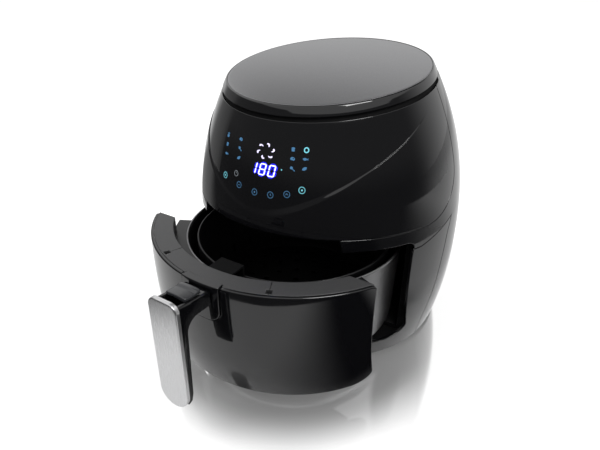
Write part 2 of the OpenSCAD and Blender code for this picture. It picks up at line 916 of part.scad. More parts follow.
module pan() {
    corner = 10;
    color(aluminised)
        pulled() {
            rotate_extrude()
                polygon(concat(
                    [[0, pan_z0]],
                    arc(pan_floor_r - corner, pan_z0 + corner, corner, -90, 0),
                    [[pan_r, pan_z1], [pan_r - sheet, pan_z1]],
                    arc(pan_floor_r - corner, pan_z0 + corner, corner - sheet, 0, -90),
                    [[0, pan_z0 + sheet]]));
            translate([0, 0, pan_z1]) rotate_extrude()
                translate([pan_r - 0.2, 0]) circle(r = 1.4, $fn = 24);
            rotate([0, 0, 218]) rotate_extrude(angle = 104)
                translate([pan_r - 0.5, pan_z1 - 0.2])
                    square([rim_inner_r + 2.5 - pan_r + 0.5, 1.4]);
        }
}

module pan_screws() {
    color(steel)
        pulled()
            for (a = [-50, -32, 32, 50])
                rotate([0, 0, a]) translate([0, -rim_inner_r - 1.2, pan_z1 - 2.2])
                    cylinder(r = 2, h = 2);
}

// ---- basket and handle ----
module basket() {
    slope = (basket_r - basket_floor_r) / (basket_z1 - basket_z0);
    color(coat)
        pulled() {
            difference() {
                rotate_extrude()
                    polygon([[basket_floor_r - 7, basket_z0], [basket_floor_r - 1.5, basket_z0],
                             [basket_floor_r, basket_z0 + 1.5], [basket_r, basket_z1],
                             [basket_r - sheet, basket_z1],
                             [basket_floor_r - sheet, basket_z0 + sheet],
                             [basket_floor_r - 7, basket_z0 + sheet]]);
                for (i = [0:wall_slots - 1])
                    rotate([0, 0, 360 / wall_slots * (i + 0.5)])
                        translate([basket_r - 10, -1.75, basket_z0 + 14]) cube([16, 3.5, 14]);
            }
            translate([0, 0, basket_z1]) rotate_extrude()
                translate([basket_r - 1.4, 0]) circle(r = 1.4, $fn = 24);
            for (a = [45:90:315])
                rotate([0, 0, a]) translate([basket_floor_r - 12 + 6, 0, pan_z0 + sheet + 0.2])
                    cylinder(r = 4.5, h = basket_z0 - pan_z0 - sheet);
        }
}

module basket_floor() {
    r = basket_floor_r - sheet - 0.3;
    pitch = (r - 8) / (floor_rings + 0.4);
    color(coat)
        pulled()
            difference() {
                translate([0, 0, basket_z0 + sheet]) cylinder(r = r, h = sheet);
                translate([0, 0, basket_z0]) cylinder(d = floor_hole_d, h = 5);
                for (k = [1:floor_rings], i = [0:6 * k - 1])
                    rotate([0, 0, 60 / k * i]) translate([k * pitch, 0, basket_z0])
                        cylinder(d = floor_hole_d, h = 5, $fn = 24);
            }
}

bracket_y = -basket_r - 0.2;
bracket_half = 13;
root_t = 6;
root_stand = 1.2;
root_front_y = arm_root_y - root_stand - 0.25;
root_back_y = -sqrt(pow(barrel_r(rim_z) - root_t, 2) - pow(bracket_half, 2));

module basket_bracket() {
    t = 2;
    top = rim_z - rim_t;
    color(coat)
        pulled()
            side_prism([[bracket_y, 92], [bracket_y - t, 92], [bracket_y - t, top - t],
                        [root_back_y + t, top - t], [root_back_y + t, 112], [root_back_y, 112],
                        [root_back_y, top], [bracket_y, top]], bracket_half);
}

module handle_bridge() {
    r1 = barrel_r(rim_z) - wall - 0.4;
    color(matt)
        pulled()
            intersection() {
                difference() {
                    rotate_extrude()
                        translate([rim_inner_r, rim_z - rim_t]) square([r1 - rim_inner_r, rim_t]);
                    intersection() {
                        front_prism(root_outline());
                        barrel_skin(-2, root_t);
                    }
                    for (s = [-1, 1]) rim_hole(s);
                }
                bridge_wedge(bridge_angle - 0.15, reach);
            }
}

module handle_root() {
    color(gloss)
        pulled()
            intersection() {
                barrel_skin(-root_stand, root_t);
                front_prism(root_outline());
                slab(0, rim_z + 0.5);
            }
}

// Side view of the arm and the grip
function handle_outline() = let (
    back = face_y + plate_t + 0.1,
    foot_z = plate_top - plate_len + 4,
    lean = tan(plate_lean),
    top_y = back - 5 * lean,
    foot_y = back - (plate_top - foot_z) * lean,
    inner_y = back + grip_t)
    concat(
        [[root_front_y, arm_root_z], [top_y, arm_root_z + (arm_root_y - top_y) * tan(arm_rise)],
         [foot_y, foot_z]],
        [[foot_y + grip_t * 0.7, foot_z + 2],
         [foot_y + grip_t, foot_z + 9]],
        [for (a = [0:15:90]) [inner_y + 12 * (1 - cos(a)), 113 + 12 * sin(a)]],
        [[root_front_y, 124]]);

module handle_shell() {
    color(gloss)
        pulled()
            difference() {
                side_prism(handle_outline(), arm_w / 2);
                on_arm()
                    translate([-well_half, -well_u1, -well_depth])
                        cube([2 * well_half, well_u1 - well_u0, well_depth + 5]);
            }
}

module handle_plate() {
    color("#d9dadc")
        pulled()
            translate([0, face_y, plate_top]) rotate([-plate_lean, 0, 0])
                rotate([90, 0, 0])
                    hull() {
                        translate([0, 0, -plate_t]) linear_extrude(height = plate_t - 1.2)
                            polygon(plate_outline(0));
                        linear_extrude(height = eps) polygon(plate_outline(1.4));
                    }
}

// Outline of the plate, hanging from its top edge, smaller by inset all round
function plate_outline(inset) = let (w = plate_w / 2 - inset, top = -inset, foot = inset - plate_len)
    concat(arc(w - 8, top - 8, 8, 0, 90), arc(8 - w, top - 8, 8, 90, 180),
           arc(0, foot + w, w, 180, 360, 14));

module handle_screws() {
    color(steel)
        pulled()
            for (z = [118, 128])
                translate([0, root_back_y + 4.1, z]) rotate([90, 0, 0]) cylinder(r = 3, h = 2);
}

module release_button() {
    color("#4b4d51")
        pulled()
            on_arm()
                translate([-button_half, -well_u0 - slide_gap - button_len, -7])
                    cube([2 * button_half, button_len, 6.4]);
}

module button_spring() {
    color(steel)
        pulled()
            on_arm()
                translate([0, -well_u0 - slide_gap - button_len / 2, -well_depth])
                    for (i = [0:2])
                        translate([0, 0, 0.7 + i * 1.3]) rotate_extrude()
                            translate([3, 0]) circle(r = 0.5, $fn = 16);
}

module button_cover() {
    color("#6d7074")
        pulled()
            on_arm()
                translate([0, -well_u0 - 1 - cover_len, slide_gap])
                    difference() {
                        translate([-well_half - 2, 0, 0]) cube([2 * well_half + 4, cover_len, 3]);
                        translate([-well_half, -1, -1]) cube([2 * well_half, cover_len + 2, 2.4]);
                    }
}

rear_shell();
front_cover();
drawer_surround();
mouth_frame();
lid_disc();
lid_band();
lid_collar();
base_plate();
foot_ring();
base_screws();
inner_liner();
drawer_rails();
drawer_switch();
cord_gland();
outlet_grille();
outlet_duct();
heat_shield();
heating_element();
element_clips();
element_guard();
temperature_probe();
thermal_cutout();
motor_deck();
deck_posts();
motor();
motor_bushes();
power_board();
touch_board();
display_module();
panel_frame();
rotor_shaft();
hot_air_fan();
cooling_fan();
fan_nut();
drawer_front();
drawer_rim();
pan();
pan_screws();
basket();
basket_floor();
basket_bracket();
handle_bridge();
handle_root();
handle_shell();
handle_plate();
handle_screws();
release_button();
button_spring();
button_cover();
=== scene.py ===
# %% [markdown]
# A drawer air fryer: a barrel-shaped body of polished black plastic, a tilted satin lid, and a
# drawer with a basket, pulled part of the way out. The solids are already made and packed. This
# file gives each piece its smooth shape and its real surface, then sets it on a white table.

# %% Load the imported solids
import math

import bmesh
import bpy
import numpy as np
from mathutils import Matrix, Vector
from mathutils.geometry import delaunay_2d_cdt


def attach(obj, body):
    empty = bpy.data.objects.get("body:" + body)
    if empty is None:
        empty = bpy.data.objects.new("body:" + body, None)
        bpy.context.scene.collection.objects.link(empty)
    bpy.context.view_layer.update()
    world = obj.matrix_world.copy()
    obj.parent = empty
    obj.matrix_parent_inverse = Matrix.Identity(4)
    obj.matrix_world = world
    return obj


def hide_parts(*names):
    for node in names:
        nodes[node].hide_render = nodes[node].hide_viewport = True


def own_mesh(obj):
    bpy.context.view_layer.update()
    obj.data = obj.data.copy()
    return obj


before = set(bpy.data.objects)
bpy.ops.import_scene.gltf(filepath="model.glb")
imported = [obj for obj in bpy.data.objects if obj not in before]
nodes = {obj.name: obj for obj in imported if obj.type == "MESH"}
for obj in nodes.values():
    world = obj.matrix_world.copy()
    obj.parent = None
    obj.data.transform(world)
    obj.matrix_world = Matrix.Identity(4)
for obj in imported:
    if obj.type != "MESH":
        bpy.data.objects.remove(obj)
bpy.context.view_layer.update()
MM = 0.001

# %% [markdown]
# Everything on the body follows one curve, the radius of the barrel at each height. A table of
# numbers could be measured off the solids, but a formula with four sizes gives a surface with no
# facets, which matters here: polished black plastic shows every flat spot in its reflections.

# %% The barrel's own curve
BELLY_R = 150.0
BASE_R = 137.5
NECK_R = 111.0
BELLY_Z = 105.0
NECK_Z = 275.0
LOW_CURVE = 2.1
HIGH_CURVE = 2.4
WALL = 3.0
PULLED = 76.0


def barrel_r(z):
    """Radius of the barrel in mm at the height z."""
    if z < BELLY_Z:
        return BELLY_R - (BELLY_R - BASE_R) * (max(0.0, BELLY_Z - z) / BELLY_Z) ** LOW_CURVE
    return BELLY_R - (BELLY_R - NECK_R) * ((z - BELLY_Z) / (NECK_Z - BELLY_Z)) ** HIGH_CURVE


print("radius at the table, belly and neck:", [round(barrel_r(z), 1) for z in (0, 105, 275)])

# %% [markdown]
# The body is four shells with fine seams between them. Each one is a region of the barrel drawn
# flat, like a paper label: across is the way round in mm, up is the height. A boolean of two
# solids would also cut them, but leaves long thin faces that spoil a gloss finish. Here the flat
# outline is filled with even triangles, wrapped on the barrel, and given the barrel's exact
# normals. Its border rows bend inwards in a quarter round, as a moulded edge does.

# %% Outlines: spacing, insetting and testing
ROUND_ROWS = (0.0, 30.0, 60.0, 90.0)


def dense(points, step=3.0, closed=True):
    """The same line with extra points, so that no stretch is longer than step."""
    made = []
    count = len(points)
    for i in range(count if closed else count - 1):
        a = Vector(points[i])
        b = Vector(points[(i + 1) % count])
        parts = max(1, math.ceil((b - a).length / step))
        made += [a.lerp(b, k / parts) for k in range(parts)]
    if not closed:
        made.append(Vector(points[-1]))
    return made


def signed_area(points):
    """Positive for a line that runs anticlockwise."""
    p = np.array([tuple(q) for q in points])
    q = np.roll(p, -1, axis=0)
    return 0.5 * float(np.sum(p[:, 0] * q[:, 1] - q[:, 0] * p[:, 1]))


def inset(points, depth, is_open):
    """Each point moved to the left of the line by depth, sliding along stretches that are open."""
    made = []
    count = len(points)
    for i in range(count):
        before, here, after = points[i - 1], points[i], points[(i + 1) % count]
        sides = []
        for a, b in ((before, here), (here, after)):
            along = (b - a).normalized()
            sides.append((Vector((-along.y, along.x)), 0.0 if is_open(a, b) else depth))
        (n1, d1), (n2, d2) = sides
        cross = n1.x * n2.y - n1.y * n2.x
        if abs(cross) < 0.08:
            move = (n1 + n2).normalized() * min(d1, d2)
        else:
            move = Vector(((d1 * n2.y - d2 * n1.y) / cross, (n1.x * d2 - n2.x * d1) / cross))
        if move.length > 2.5 * depth:
            move = move.normalized() * 2.5 * depth
        made.append(here + move)
    return made


def inside(points, loop):
    """Which of the points lie inside the loop."""
    x, y = points[:, 0], points[:, 1]
    hit = np.zeros(len(points), bool)
    for a, b in zip(loop, np.roll(loop, -1, axis=0)):
        crosses = (a[1] > y) != (b[1] > y)
        if crosses.any():
            at = a[0] + (y - a[1]) * (b[0] - a[0]) / (b[1] - a[1] + 1e-12)
            hit ^= crosses & (x < at)
    return hit


def far_from(points, loop, least):
    """Which of the points are further than least from every stretch of the loop."""
    keep = np.ones(len(points), bool)
    for a, b in zip(loop, np.roll(loop, -1, axis=0)):
        ab = b - a
        t = np.clip(((points - a) @ ab) / (ab @ ab + 1e-12), 0, 1)
        keep &= np.hypot(*(points - a - t[:, None] * ab).T) > least
    return keep


print("outline helpers ready")

# %% [markdown]
# One function then makes every shell, sheet and printed mark of the object. It needs the flat
# outline and a rule that places a flat point on the real surface.

# %% Cut a sheet from a surface
def cut_sheet(outline, place, holes=(), thick=WALL, edge=0.7, cell=4.0, lines=(),
              is_open=lambda a, b: False):
    """Points, faces and normals, in mm, of one sheet with rounded borders."""
    loops = []
    for number, loop in enumerate([outline, *holes]):
        points = [Vector(p) for p in loop]
        if (signed_area(points) > 0) != (number == 0):
            points.reverse()
        loops.append(points)
    flat, turn_of, links, out_of = [], [], [], []
    border = []
    rows = ROUND_ROWS if edge > 0 else (90.0,)
    for points in loops:
        for row in rows:
            t = edge * (1 - math.cos(math.radians(row)))
            moved = inset(points, t, is_open) if t > 0 else points
            start = len(flat)
            unit = inset(points, 1.0, is_open)
            for p, base, one in zip(moved, points, unit):
                flat.append(p)
                turn_of.append(row)
                way = base - one
                out_of.append(way.normalized() if way.length > 1e-6 else Vector((0, 0)))
            ring = [(start + i, start + (i + 1) % len(points)) for i in range(len(points))]
            links += ring
            if row == rows[0]:
                border += [(i, j) for i, j in ring if not is_open(flat[i], flat[j])]
    for line in lines:
        start = len(flat)
        flat += [Vector(p) for p in line]
        turn_of += [90.0] * len(line)
        out_of += [Vector((0, 0))] * len(line)
        links += [(start + i, start + i + 1) for i in range(len(line) - 1)]
    arrays = [np.array([tuple(p) for p in points]) for points in loops]
    low, high = arrays[0].min(0), arrays[0].max(0)
    across = np.arange(low[0] + cell / 2, high[0], cell)
    up = np.arange(low[1] + cell / 2, high[1], cell)
    if len(across) and len(up):
        grid = np.array([(x, y) for y in up for x in across])
        keep = inside(grid, arrays[0])
        for loop in arrays[1:]:
            keep &= ~inside(grid, loop)
        grid = grid[keep]
        for loop in arrays:
            grid = grid[far_from(grid, loop, edge + cell * 0.45)]
        for line in lines:
            if len(grid):
                stretch = np.array([tuple(p) for p in [*line, *line[::-1]]])
                grid = grid[far_from(grid, stretch, cell * 0.3)]
        flat += [Vector(p) for p in grid]
        turn_of += [90.0] * len(grid)
        out_of += [Vector((0, 0))] * len(grid)
    made = delaunay_2d_cdt(flat, links, [], 0, 1e-5)
    spots, triangles, source = made[0], made[2], made[3]
    middles = np.array([tuple(sum((spots[i] for i in t), Vector((0, 0))) / len(t))
                        for t in triangles])
    keep = inside(middles, arrays[0])
    for loop in arrays[1:]:
        keep &= ~inside(middles, loop)
    triangles = [t for t, kept in zip(triangles, keep) if kept]
    new_of = {old: i for i, olds in enumerate(source) for old in olds}
    points, normals = [], []
    backs, back_normals = [], []
    rims = {}
    step = 0.05
    for i, spot in enumerate(spots):
        old = source[i][0] if source[i] else None
        turn = math.radians(turn_of[old]) if old is not None else math.pi / 2
        here = place(spot.x, spot.y)
        du = (place(spot.x + step, spot.y) - place(spot.x - step, spot.y)) / (2 * step)
        dv = (place(spot.x, spot.y + step) - place(spot.x, spot.y - step)) / (2 * step)
        normal = du.cross(dv).normalized()
        way = out_of[old] if old is not None else Vector((0, 0))
        outwards = way.x * du + way.y * dv
        if outwards.length > 1e-6:
            outwards.normalize()
        points.append(here - normal * edge * (1 - math.sin(turn)))
        normals.append((normal * math.sin(turn) + outwards * math.cos(turn)).normalized())
        backs.append(here - normal * thick)
        back_normals.append(-normal)
        rims[i] = outwards
    count = len(points)
    faces = [tuple(t) for t in triangles]
    faces += [tuple(count + i for i in reversed(t)) for t in triangles]
    points += backs
    normals += back_normals
    side_of = {}
    for i, j in border:
        corner = []
        for k in (new_of[i], new_of[j]):
            if k not in side_of:
                side_of[k] = len(points)
                points += [points[k], points[count + k]]
                normals += [rims[k], rims[k]]
            corner.append(side_of[k])
        a, b = corner
        faces.append((a, a + 1, b + 1, b))
    return points, faces, normals


def build(name, parts, body, material, slot, *stands_for):
    """One object from such parts. It rides on a body and stands for the named solids."""
    points, faces, normals = [], [], []
    for some_points, some_faces, some_normals in parts:
        start = len(points)
        points += [Vector(p) * MM for p in some_points]
        faces += [tuple(start + i for i in f) for f in some_faces]
        normals += some_normals
    mesh = bpy.data.meshes.new(name)
    mesh.from_pydata(points, [], faces)
    mesh.shade_smooth()
    mesh.normals_split_custom_set_from_vertices([tuple(n) for n in normals])
    mesh.materials.append(material)
    obj = bpy.data.objects.new(name, mesh)
    bpy.context.scene.collection.objects.link(obj)
    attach(obj, body)
    if stands_for:
        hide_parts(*stands_for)
    print(name, "faces:", len(faces))
    return obj


# %% [markdown]
# Round pieces are turned from a profile, as on a lathe. Their corners get small fillets in the
# profile itself, so the light catches them as on a pressed or moulded edge.

# %% Turned pieces
def fillet(points, radius, closed=False, parts=4):
    """A line with each corner cut by an arc. The radius is one number, or one for each point."""
    made = []
    count = len(points)
    for i, p in enumerate(points):
        r = radius[i] if isinstance(radius, (list, tuple)) else radius
        if r == 0 or (not closed and i in (0, count - 1)):
            made.append(Vector(p))
            continue
        here = Vector(p)
        a = Vector(points[i - 1]) - here
        b = Vector(points[(i + 1) % count]) - here
        half = a.angle(b) / 2
        if half > math.radians(88):
            made.append(here)
            continue
        back = min(r / math.tan(half), 0.48 * a.length, 0.48 * b.length)
        start = here + a.normalized() * back
        end = here + b.normalized() * back
        for k in range(parts + 1):
            t = k / parts
            made.append((1 - t) ** 2 * start + 2 * t * (1 - t) * here + t ** 2 * end)
    return made


def finish_mesh(name, mesh, body, material, stands_for, sharp=35):
    """Shades a plain mesh smooth, keeps its sharp corners and puts it on its body."""
    mesh.shade_smooth()
    mesh.set_sharp_from_angle(angle=math.radians(sharp))
    mesh.materials.append(material)
    obj = bpy.data.objects.new(name, mesh)
    bpy.context.scene.collection.objects.link(obj)
    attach(obj, body)
    if stands_for:
        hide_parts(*stands_for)
    print(name, "faces:", len(mesh.polygons))
    return obj


def loft(name, rings, body, material, slot, *stands_for, closed=True, tube=True):
    """A skin over rings of points; the last ring joins the first where tube is true."""
    count = len(rings[0])
    points = [Vector(p) * MM for ring in rings for p in ring]
    faces = []
    for r in range(len(rings) if tube else len(rings) - 1):
        s = (r + 1) % len(rings)
        for i in range(count if closed else count - 1):
            j = (i + 1) % count
            faces.append((r * count + i, r * count + j, s * count + j, s * count + i))
    mesh = bpy.data.meshes.new(name)
    mesh.from_pydata(points, [], faces)
    bm = bmesh.new()
    bm.from_mesh(mesh)
    bmesh.ops.recalc_face_normals(bm, faces=bm.faces)
    bm.to_mesh(mesh)
    bm.free()
    return finish_mesh(name, mesh, body, material, stands_for)


def turned_rings(profile, centre=(0.0, 0.0), steps=192):
    """Rings of points for a closed profile of (radius, height) round an upright axis."""
    return [[(centre[0] + r * math.sin(2 * math.pi * k / steps),
              centre[1] - r * math.cos(2 * math.pi * k / steps), z) for k in range(steps)]
            for r, z in profile]


print("turning helpers ready")

# %% [markdown]
# Every colour is written as the hex value a painter would pick, and one function turns it into
# the linear numbers that the shaders work in. One more function adds a node with its settings
# and links, so that a material reads from top to bottom like a recipe.

# %% Colours and nodes
def linear(code):
    """An sRGB hex colour as linear red, green, blue and alpha."""
    made = []
    for i in (0, 2, 4):
        c = int(code[i:i + 2], 16) / 255
        made.append(c / 12.92 if c <= 0.04045 else ((c + 0.055) / 1.055) ** 2.4)
    return (*made, 1.0)


def add(material, kind, inputs=None, **settings):
    """Adds a node; an input is a number, a colour or another node's output."""
    node = material.node_tree.nodes.new(kind)
    for setting, value in settings.items():
        setattr(node, setting, value)
    for socket, value in (inputs or {}).items():
        if isinstance(value, bpy.types.NodeSocket):
            material.node_tree.links.new(value, node.inputs[socket])
        else:
            node.inputs[socket].default_value = value
    return node


def surface(name, colour, roughness, metallic=0.0, ior=1.5, **more):
    """A new material: its Principled shader, set to plain numbers, and the object's own place."""
    material = bpy.data.materials.new(name)
    material.use_nodes = True
    shader = material.node_tree.nodes["Principled BSDF"]
    shader.inputs["Base Color"].default_value = linear(colour)
    shader.inputs["Roughness"].default_value = roughness
    shader.inputs["Metallic"].default_value = metallic
    shader.inputs["IOR"].default_value = ior
    for socket, value in more.items():
        shader.inputs[socket.replace("_", " ")].default_value = value
    place = add(material, "ShaderNodeTexCoord").outputs["Object"]
    return material, shader, place


def per_mm(size):
    """The scale that makes a noise feature about size mm wide in an object drawn in metres."""
    return 1000.0 / size


print("mid grey 808080 is", round(linear("808080")[0], 3), "in linear light")

# %% [markdown]
# The shells are ABS, moulded in a polished tool. That gives a black with a hard, clear mirror
# on it, and the mirror is never quite flat: the wall shrinks a little as it cools, so
# reflections of a window waver. A wide shallow bump makes that, and a second noise lets
# fingerprints and dust dull the polish here and there.

# %% Polished black ABS
piano_black, shader, place = surface("polished_black_abs", "0b0b0d", 0.05, ior=1.54)
waver = add(piano_black, "ShaderNodeTexNoise", {
    "Vector": place, "Scale": per_mm(48), "Detail": 1.5, "Roughness": 0.45})
shrink = add(piano_black, "ShaderNodeBump", {
    "Height": waver.outputs["Fac"], "Strength": 0.35, "Distance": 0.0006})
dust = add(piano_black, "ShaderNodeTexNoise", {
    "Vector": place, "Scale": per_mm(30), "Detail": 6.0, "Roughness": 0.62})
dulled = add(piano_black, "ShaderNodeMapRange", {
    "Value": dust.outputs["Fac"], "From Min": 0.35, "From Max": 0.75,
    "To Min": 0.035, "To Max": 0.085})
piano_black.node_tree.links.new(dulled.outputs["Result"], shader.inputs["Roughness"])
piano_black.node_tree.links.new(shrink.outputs["Normal"], shader.inputs["Normal"])
print("made", piano_black.name)

# %% [markdown]
# The lid is the same plastic under a satin silver-grey lacquer. The lacquer holds fine metal
# flakes, so it is part metallic: light at a low angle turns it pale, and straight on it stays
# grey. The grit of the flakes is about 0.3 mm.

# %% Satin lacquer
satin_lacquer, shader, place = surface("satin_grey_lacquer", "7e7e7f", 0.31, metallic=0.68)
flake = add(satin_lacquer, "ShaderNodeTexNoise", {
    "Vector": place, "Scale": per_mm(0.9), "Detail": 3.0, "Roughness": 0.6})
flake_tint = add(satin_lacquer, "ShaderNodeValToRGB", {"Fac": flake.outputs["Fac"]})
flake_tint.color_ramp.elements[0].position = 0.3
flake_tint.color_ramp.elements[0].color = linear("78787a")
flake_tint.color_ramp.elements[1].position = 0.7
flake_tint.color_ramp.elements[1].color = linear("868688")
flake_bump = add(satin_lacquer, "ShaderNodeBump", {
    "Height": flake.outputs["Fac"], "Strength": 0.12, "Distance": 0.0001})
satin_lacquer.node_tree.links.new(flake_tint.outputs["Color"], shader.inputs["Base Color"])
satin_lacquer.node_tree.links.new(flake_bump.outputs["Normal"], shader.inputs["Normal"])
print("made", satin_lacquer.name)

# %% [markdown]
# Inner and under parts are plain ABS from a spark-eroded tool. Its fine pits scatter light, so
# the same black looks dry. The pits are 0.4 mm; the rim of the drawer has the same grain in a
# lighter grey.

# %% Grained ABS, black and grey
def grained(name, colour, light, roughness, pit):
    """Moulded plastic with a spark-eroded grain of pits about pit mm wide."""
    material, shader, place = surface(name, colour, roughness, ior=1.54)
    grain = add(material, "ShaderNodeTexNoise", {
        "Vector": place, "Scale": per_mm(pit), "Detail": 2.0, "Roughness": 0.5})
    tint = add(material, "ShaderNodeValToRGB", {"Fac": grain.outputs["Fac"]})
    tint.color_ramp.elements[0].position = 0.3
    tint.color_ramp.elements[0].color = linear(colour)
    tint.color_ramp.elements[1].position = 0.75
    tint.color_ramp.elements[1].color = linear(light)
    bump = add(material, "ShaderNodeBump", {
        "Height": grain.outputs["Fac"], "Strength": 0.3, "Distance": 0.0002})
    material.node_tree.links.new(tint.outputs["Color"], shader.inputs["Base Color"])
    material.node_tree.links.new(bump.outputs["Normal"], shader.inputs["Normal"])
    print("made", name)
    return material


black_abs = grained("grained_black_abs", "0e0e0f", "18181a", 0.5, 0.8)
# This black is darker than the grained one and reflects much less, as painted shade. It goes on
# the drawer's mouth frame, the lid collar and the basket bracket, so that the gaps round them read
# as black shadow.
gap_shade_black = grained("black_abs_painted_gap_shade", "040405", "09090a", 0.75, 0.8)
gap_shade_black.node_tree.nodes["Principled BSDF"].inputs["Specular IOR Level"].default_value = 0.12
grey_abs = grained("grained_grey_abs", "353536", "414142", 0.46, 0.8)
foot_rubber = grained("moulded_rubber", "161616", "222222", 0.82, 1.5)
switch_nylon = grained("white_glass_filled_nylon", "c9c6bb", "dbd8ce", 0.55, 1.2)
clear_white = grained("white_light_guide", "d4d4d8", "e2e2e6", 0.3, 2.0)

# %% [markdown]
# Sheet metal inside is aluminised steel: rolled, so its grain runs one way, and coated, so it
# is soft and grey rather than bright. The grain is a noise squeezed to long threads, 0.5 mm
# apart and 30 mm long, in the bump and in the roughness. Brushed stainless steel is the same
# recipe with a sharper mirror.

# %% Rolled and brushed metals
def drawn_metal(name, colour, roughness, apart, long, depth, axis):
    """A metal with fine threads along one axis, apart mm from each other."""
    material, shader, place = surface(name, colour, roughness, metallic=1.0)
    scale = [per_mm(apart)] * 3
    scale[axis] = per_mm(long)
    squeezed = add(material, "ShaderNodeMapping", {"Vector": place, "Scale": scale})
    thread = add(material, "ShaderNodeTexNoise", {
        "Vector": squeezed.outputs["Vector"], "Scale": 1.0, "Detail": 3.0, "Roughness": 0.6})
    gloss = add(material, "ShaderNodeMapRange", {
        "Value": thread.outputs["Fac"], "From Min": 0.3, "From Max": 0.7,
        "To Min": roughness - 0.06, "To Max": roughness + 0.08})
    bump = add(material, "ShaderNodeBump", {
        "Height": thread.outputs["Fac"], "Strength": 0.15, "Distance": depth})
    material.node_tree.links.new(gloss.outputs["Result"], shader.inputs["Roughness"])
    material.node_tree.links.new(bump.outputs["Normal"], shader.inputs["Normal"])
    print("made", name)
    return material


aluminised = drawn_metal("aluminised_sheet_steel", "858586", 0.36, 0.5, 30.0, 0.00008, 2)
stainless = drawn_metal("brushed_stainless_steel", "b9babc", 0.24, 0.4, 20.0, 0.0001, 0)
plate_metal = drawn_metal("satin_anodised_aluminium", "d6d6d7", 0.3, 0.35, 40.0, 0.000004, 2)
core_iron = drawn_metal("lacquered_core_sheets", "55585c", 0.5, 30.0, 0.9, 0.0003, 2)
heater_tube = drawn_metal("oxidised_nickel_alloy", "4d4844", 0.48, 6.0, 6.0, 0.0002, 0)

# %% [markdown]
# The basket has a sprayed and baked non-stick coat. It is near black with tiny pale specks, and
# a soft sheen with the faint dimples of a sprayed film, about 1.5 mm across.

# %% Non-stick coat
nonstick, shader, place = surface("speckled_nonstick_coat", "131314", 0.34, ior=1.38)
film = add(nonstick, "ShaderNodeTexNoise", {
    "Vector": place, "Scale": per_mm(1.5), "Detail": 1.0})
specks = add(nonstick, "ShaderNodeTexVoronoi", {"Vector": place, "Scale": per_mm(2.6)})
speck_tint = add(nonstick, "ShaderNodeValToRGB", {"Fac": specks.outputs["Distance"]})
speck_tint.color_ramp.elements[0].position = 0.07
speck_tint.color_ramp.elements[0].color = linear("4a4a4c")
speck_tint.color_ramp.elements[1].position = 0.13
speck_tint.color_ramp.elements[1].color = linear("131314")
film_bump = add(nonstick, "ShaderNodeBump", {
    "Height": film.outputs["Fac"], "Strength": 0.2, "Distance": 0.0002})
nonstick.node_tree.links.new(speck_tint.outputs["Color"], shader.inputs["Base Color"])
nonstick.node_tree.links.new(film_bump.outputs["Normal"], shader.inputs["Normal"])
print("made", nonstick.name)

# %% [markdown]
# The slider over the release button is tinted polycarbonate with a semi-gloss, and the circuit
# boards have a green solder mask with faint copper tracks under it, 1.5 mm apart.

# %% Tinted plastic and circuit board
smoke_plastic, shader, place = surface("smoke_polycarbonate", "2c2d30", 0.16, ior=1.58)
scuffs = add(smoke_plastic, "ShaderNodeTexNoise", {
    "Vector": place, "Scale": per_mm(6), "Detail": 5.0})
scuffed = add(smoke_plastic, "ShaderNodeMapRange", {
    "Value": scuffs.outputs["Fac"], "To Min": 0.1, "To Max": 0.24})
smoke_plastic.node_tree.links.new(scuffed.outputs["Result"], shader.inputs["Roughness"])

solder_mask, shader, place = surface("green_solder_mask", "1c5a2e", 0.3, ior=1.5)
tracks = add(solder_mask, "ShaderNodeTexBrick", {
    "Vector": place, "Scale": per_mm(12), "Color1": linear("1c5a2e"),
    "Color2": linear("216836"), "Mortar": linear("2f7d44"), "Mortar Size": 0.03})
solder_mask.node_tree.links.new(tracks.outputs["Color"], shader.inputs["Base Color"])
print("made", smoke_plastic.name, "and", solder_mask.name)

# %% [markdown]
# The marks on the panel are lit from behind through the black. The digits are white with a blue
# glow round them, the touch marks are cyan, and the small pictures are a dim blue. Each is a
# shader that gives off a little light, with a faint mottle from the guide behind it.

# %% Lit marks
def lit(name, colour, strength):
    """Plastic lit from behind, with a mottle of 2 mm."""
    material, shader, place = surface(name, colour, 0.3)
    mottle = add(material, "ShaderNodeTexNoise", {"Vector": place, "Scale": per_mm(2)})
    power = add(material, "ShaderNodeMapRange", {
        "Value": mottle.outputs["Fac"], "To Min": 0.7 * strength, "To Max": 1.3 * strength})
    shader.inputs["Emission Color"].default_value = linear(colour)
    material.node_tree.links.new(power.outputs["Result"], shader.inputs["Emission Strength"])
    return material


digit_white = lit("lit_white_digits", "e9ecff", 1.0)
digit_glow = lit("lit_blue_glow", "1414d8", 0.85)
fan_lilac = lit("lit_lilac_fan", "d9d2f4", 0.75)
touch_cyan = lit("lit_cyan_marks", "6fc4d2", 0.42)
picture_blue = lit("lit_blue_pictures", "3f6f96", 0.32)
pale_grey = lit("lit_grey_marks", "7d8388", 0.35)
print("lit marks:", len([m for m in bpy.data.materials if m.name.startswith("lit_")]))

# %% [markdown]
# The barrel is drawn flat at 2.5 mm to the degree, close to its real girth. Seams are given in
# whichever view they were designed in: the drawer opening and the drawer front from the front,
# as x and height, and the side seams from the side, as y and height.

# %% From the drawings to the flat sheet
PER_DEGREE = 2.5
TILT = 9.25
SEAM = 0.3
COVER_TOP = 273.5
LID_TOP = 285.0


def from_front(x, z):
    """Flat place of a point seen from the front."""
    return (math.degrees(math.asin(max(-1, min(1, x / barrel_r(z))))) * PER_DEGREE, z)


def from_side(y, z):
    """Flat place of a point on the right, seen from the side."""
    return (math.degrees(math.acos(max(-1, min(1, -y / barrel_r(z))))) * PER_DEGREE, z)


def tilted_z(degrees, height):
    """Where the tilted plane that crosses the axis at height cuts the barrel."""
    z = height
    for _ in range(12):
        z = height - barrel_r(z) * math.cos(math.radians(degrees)) * math.tan(math.radians(TILT))
    return z


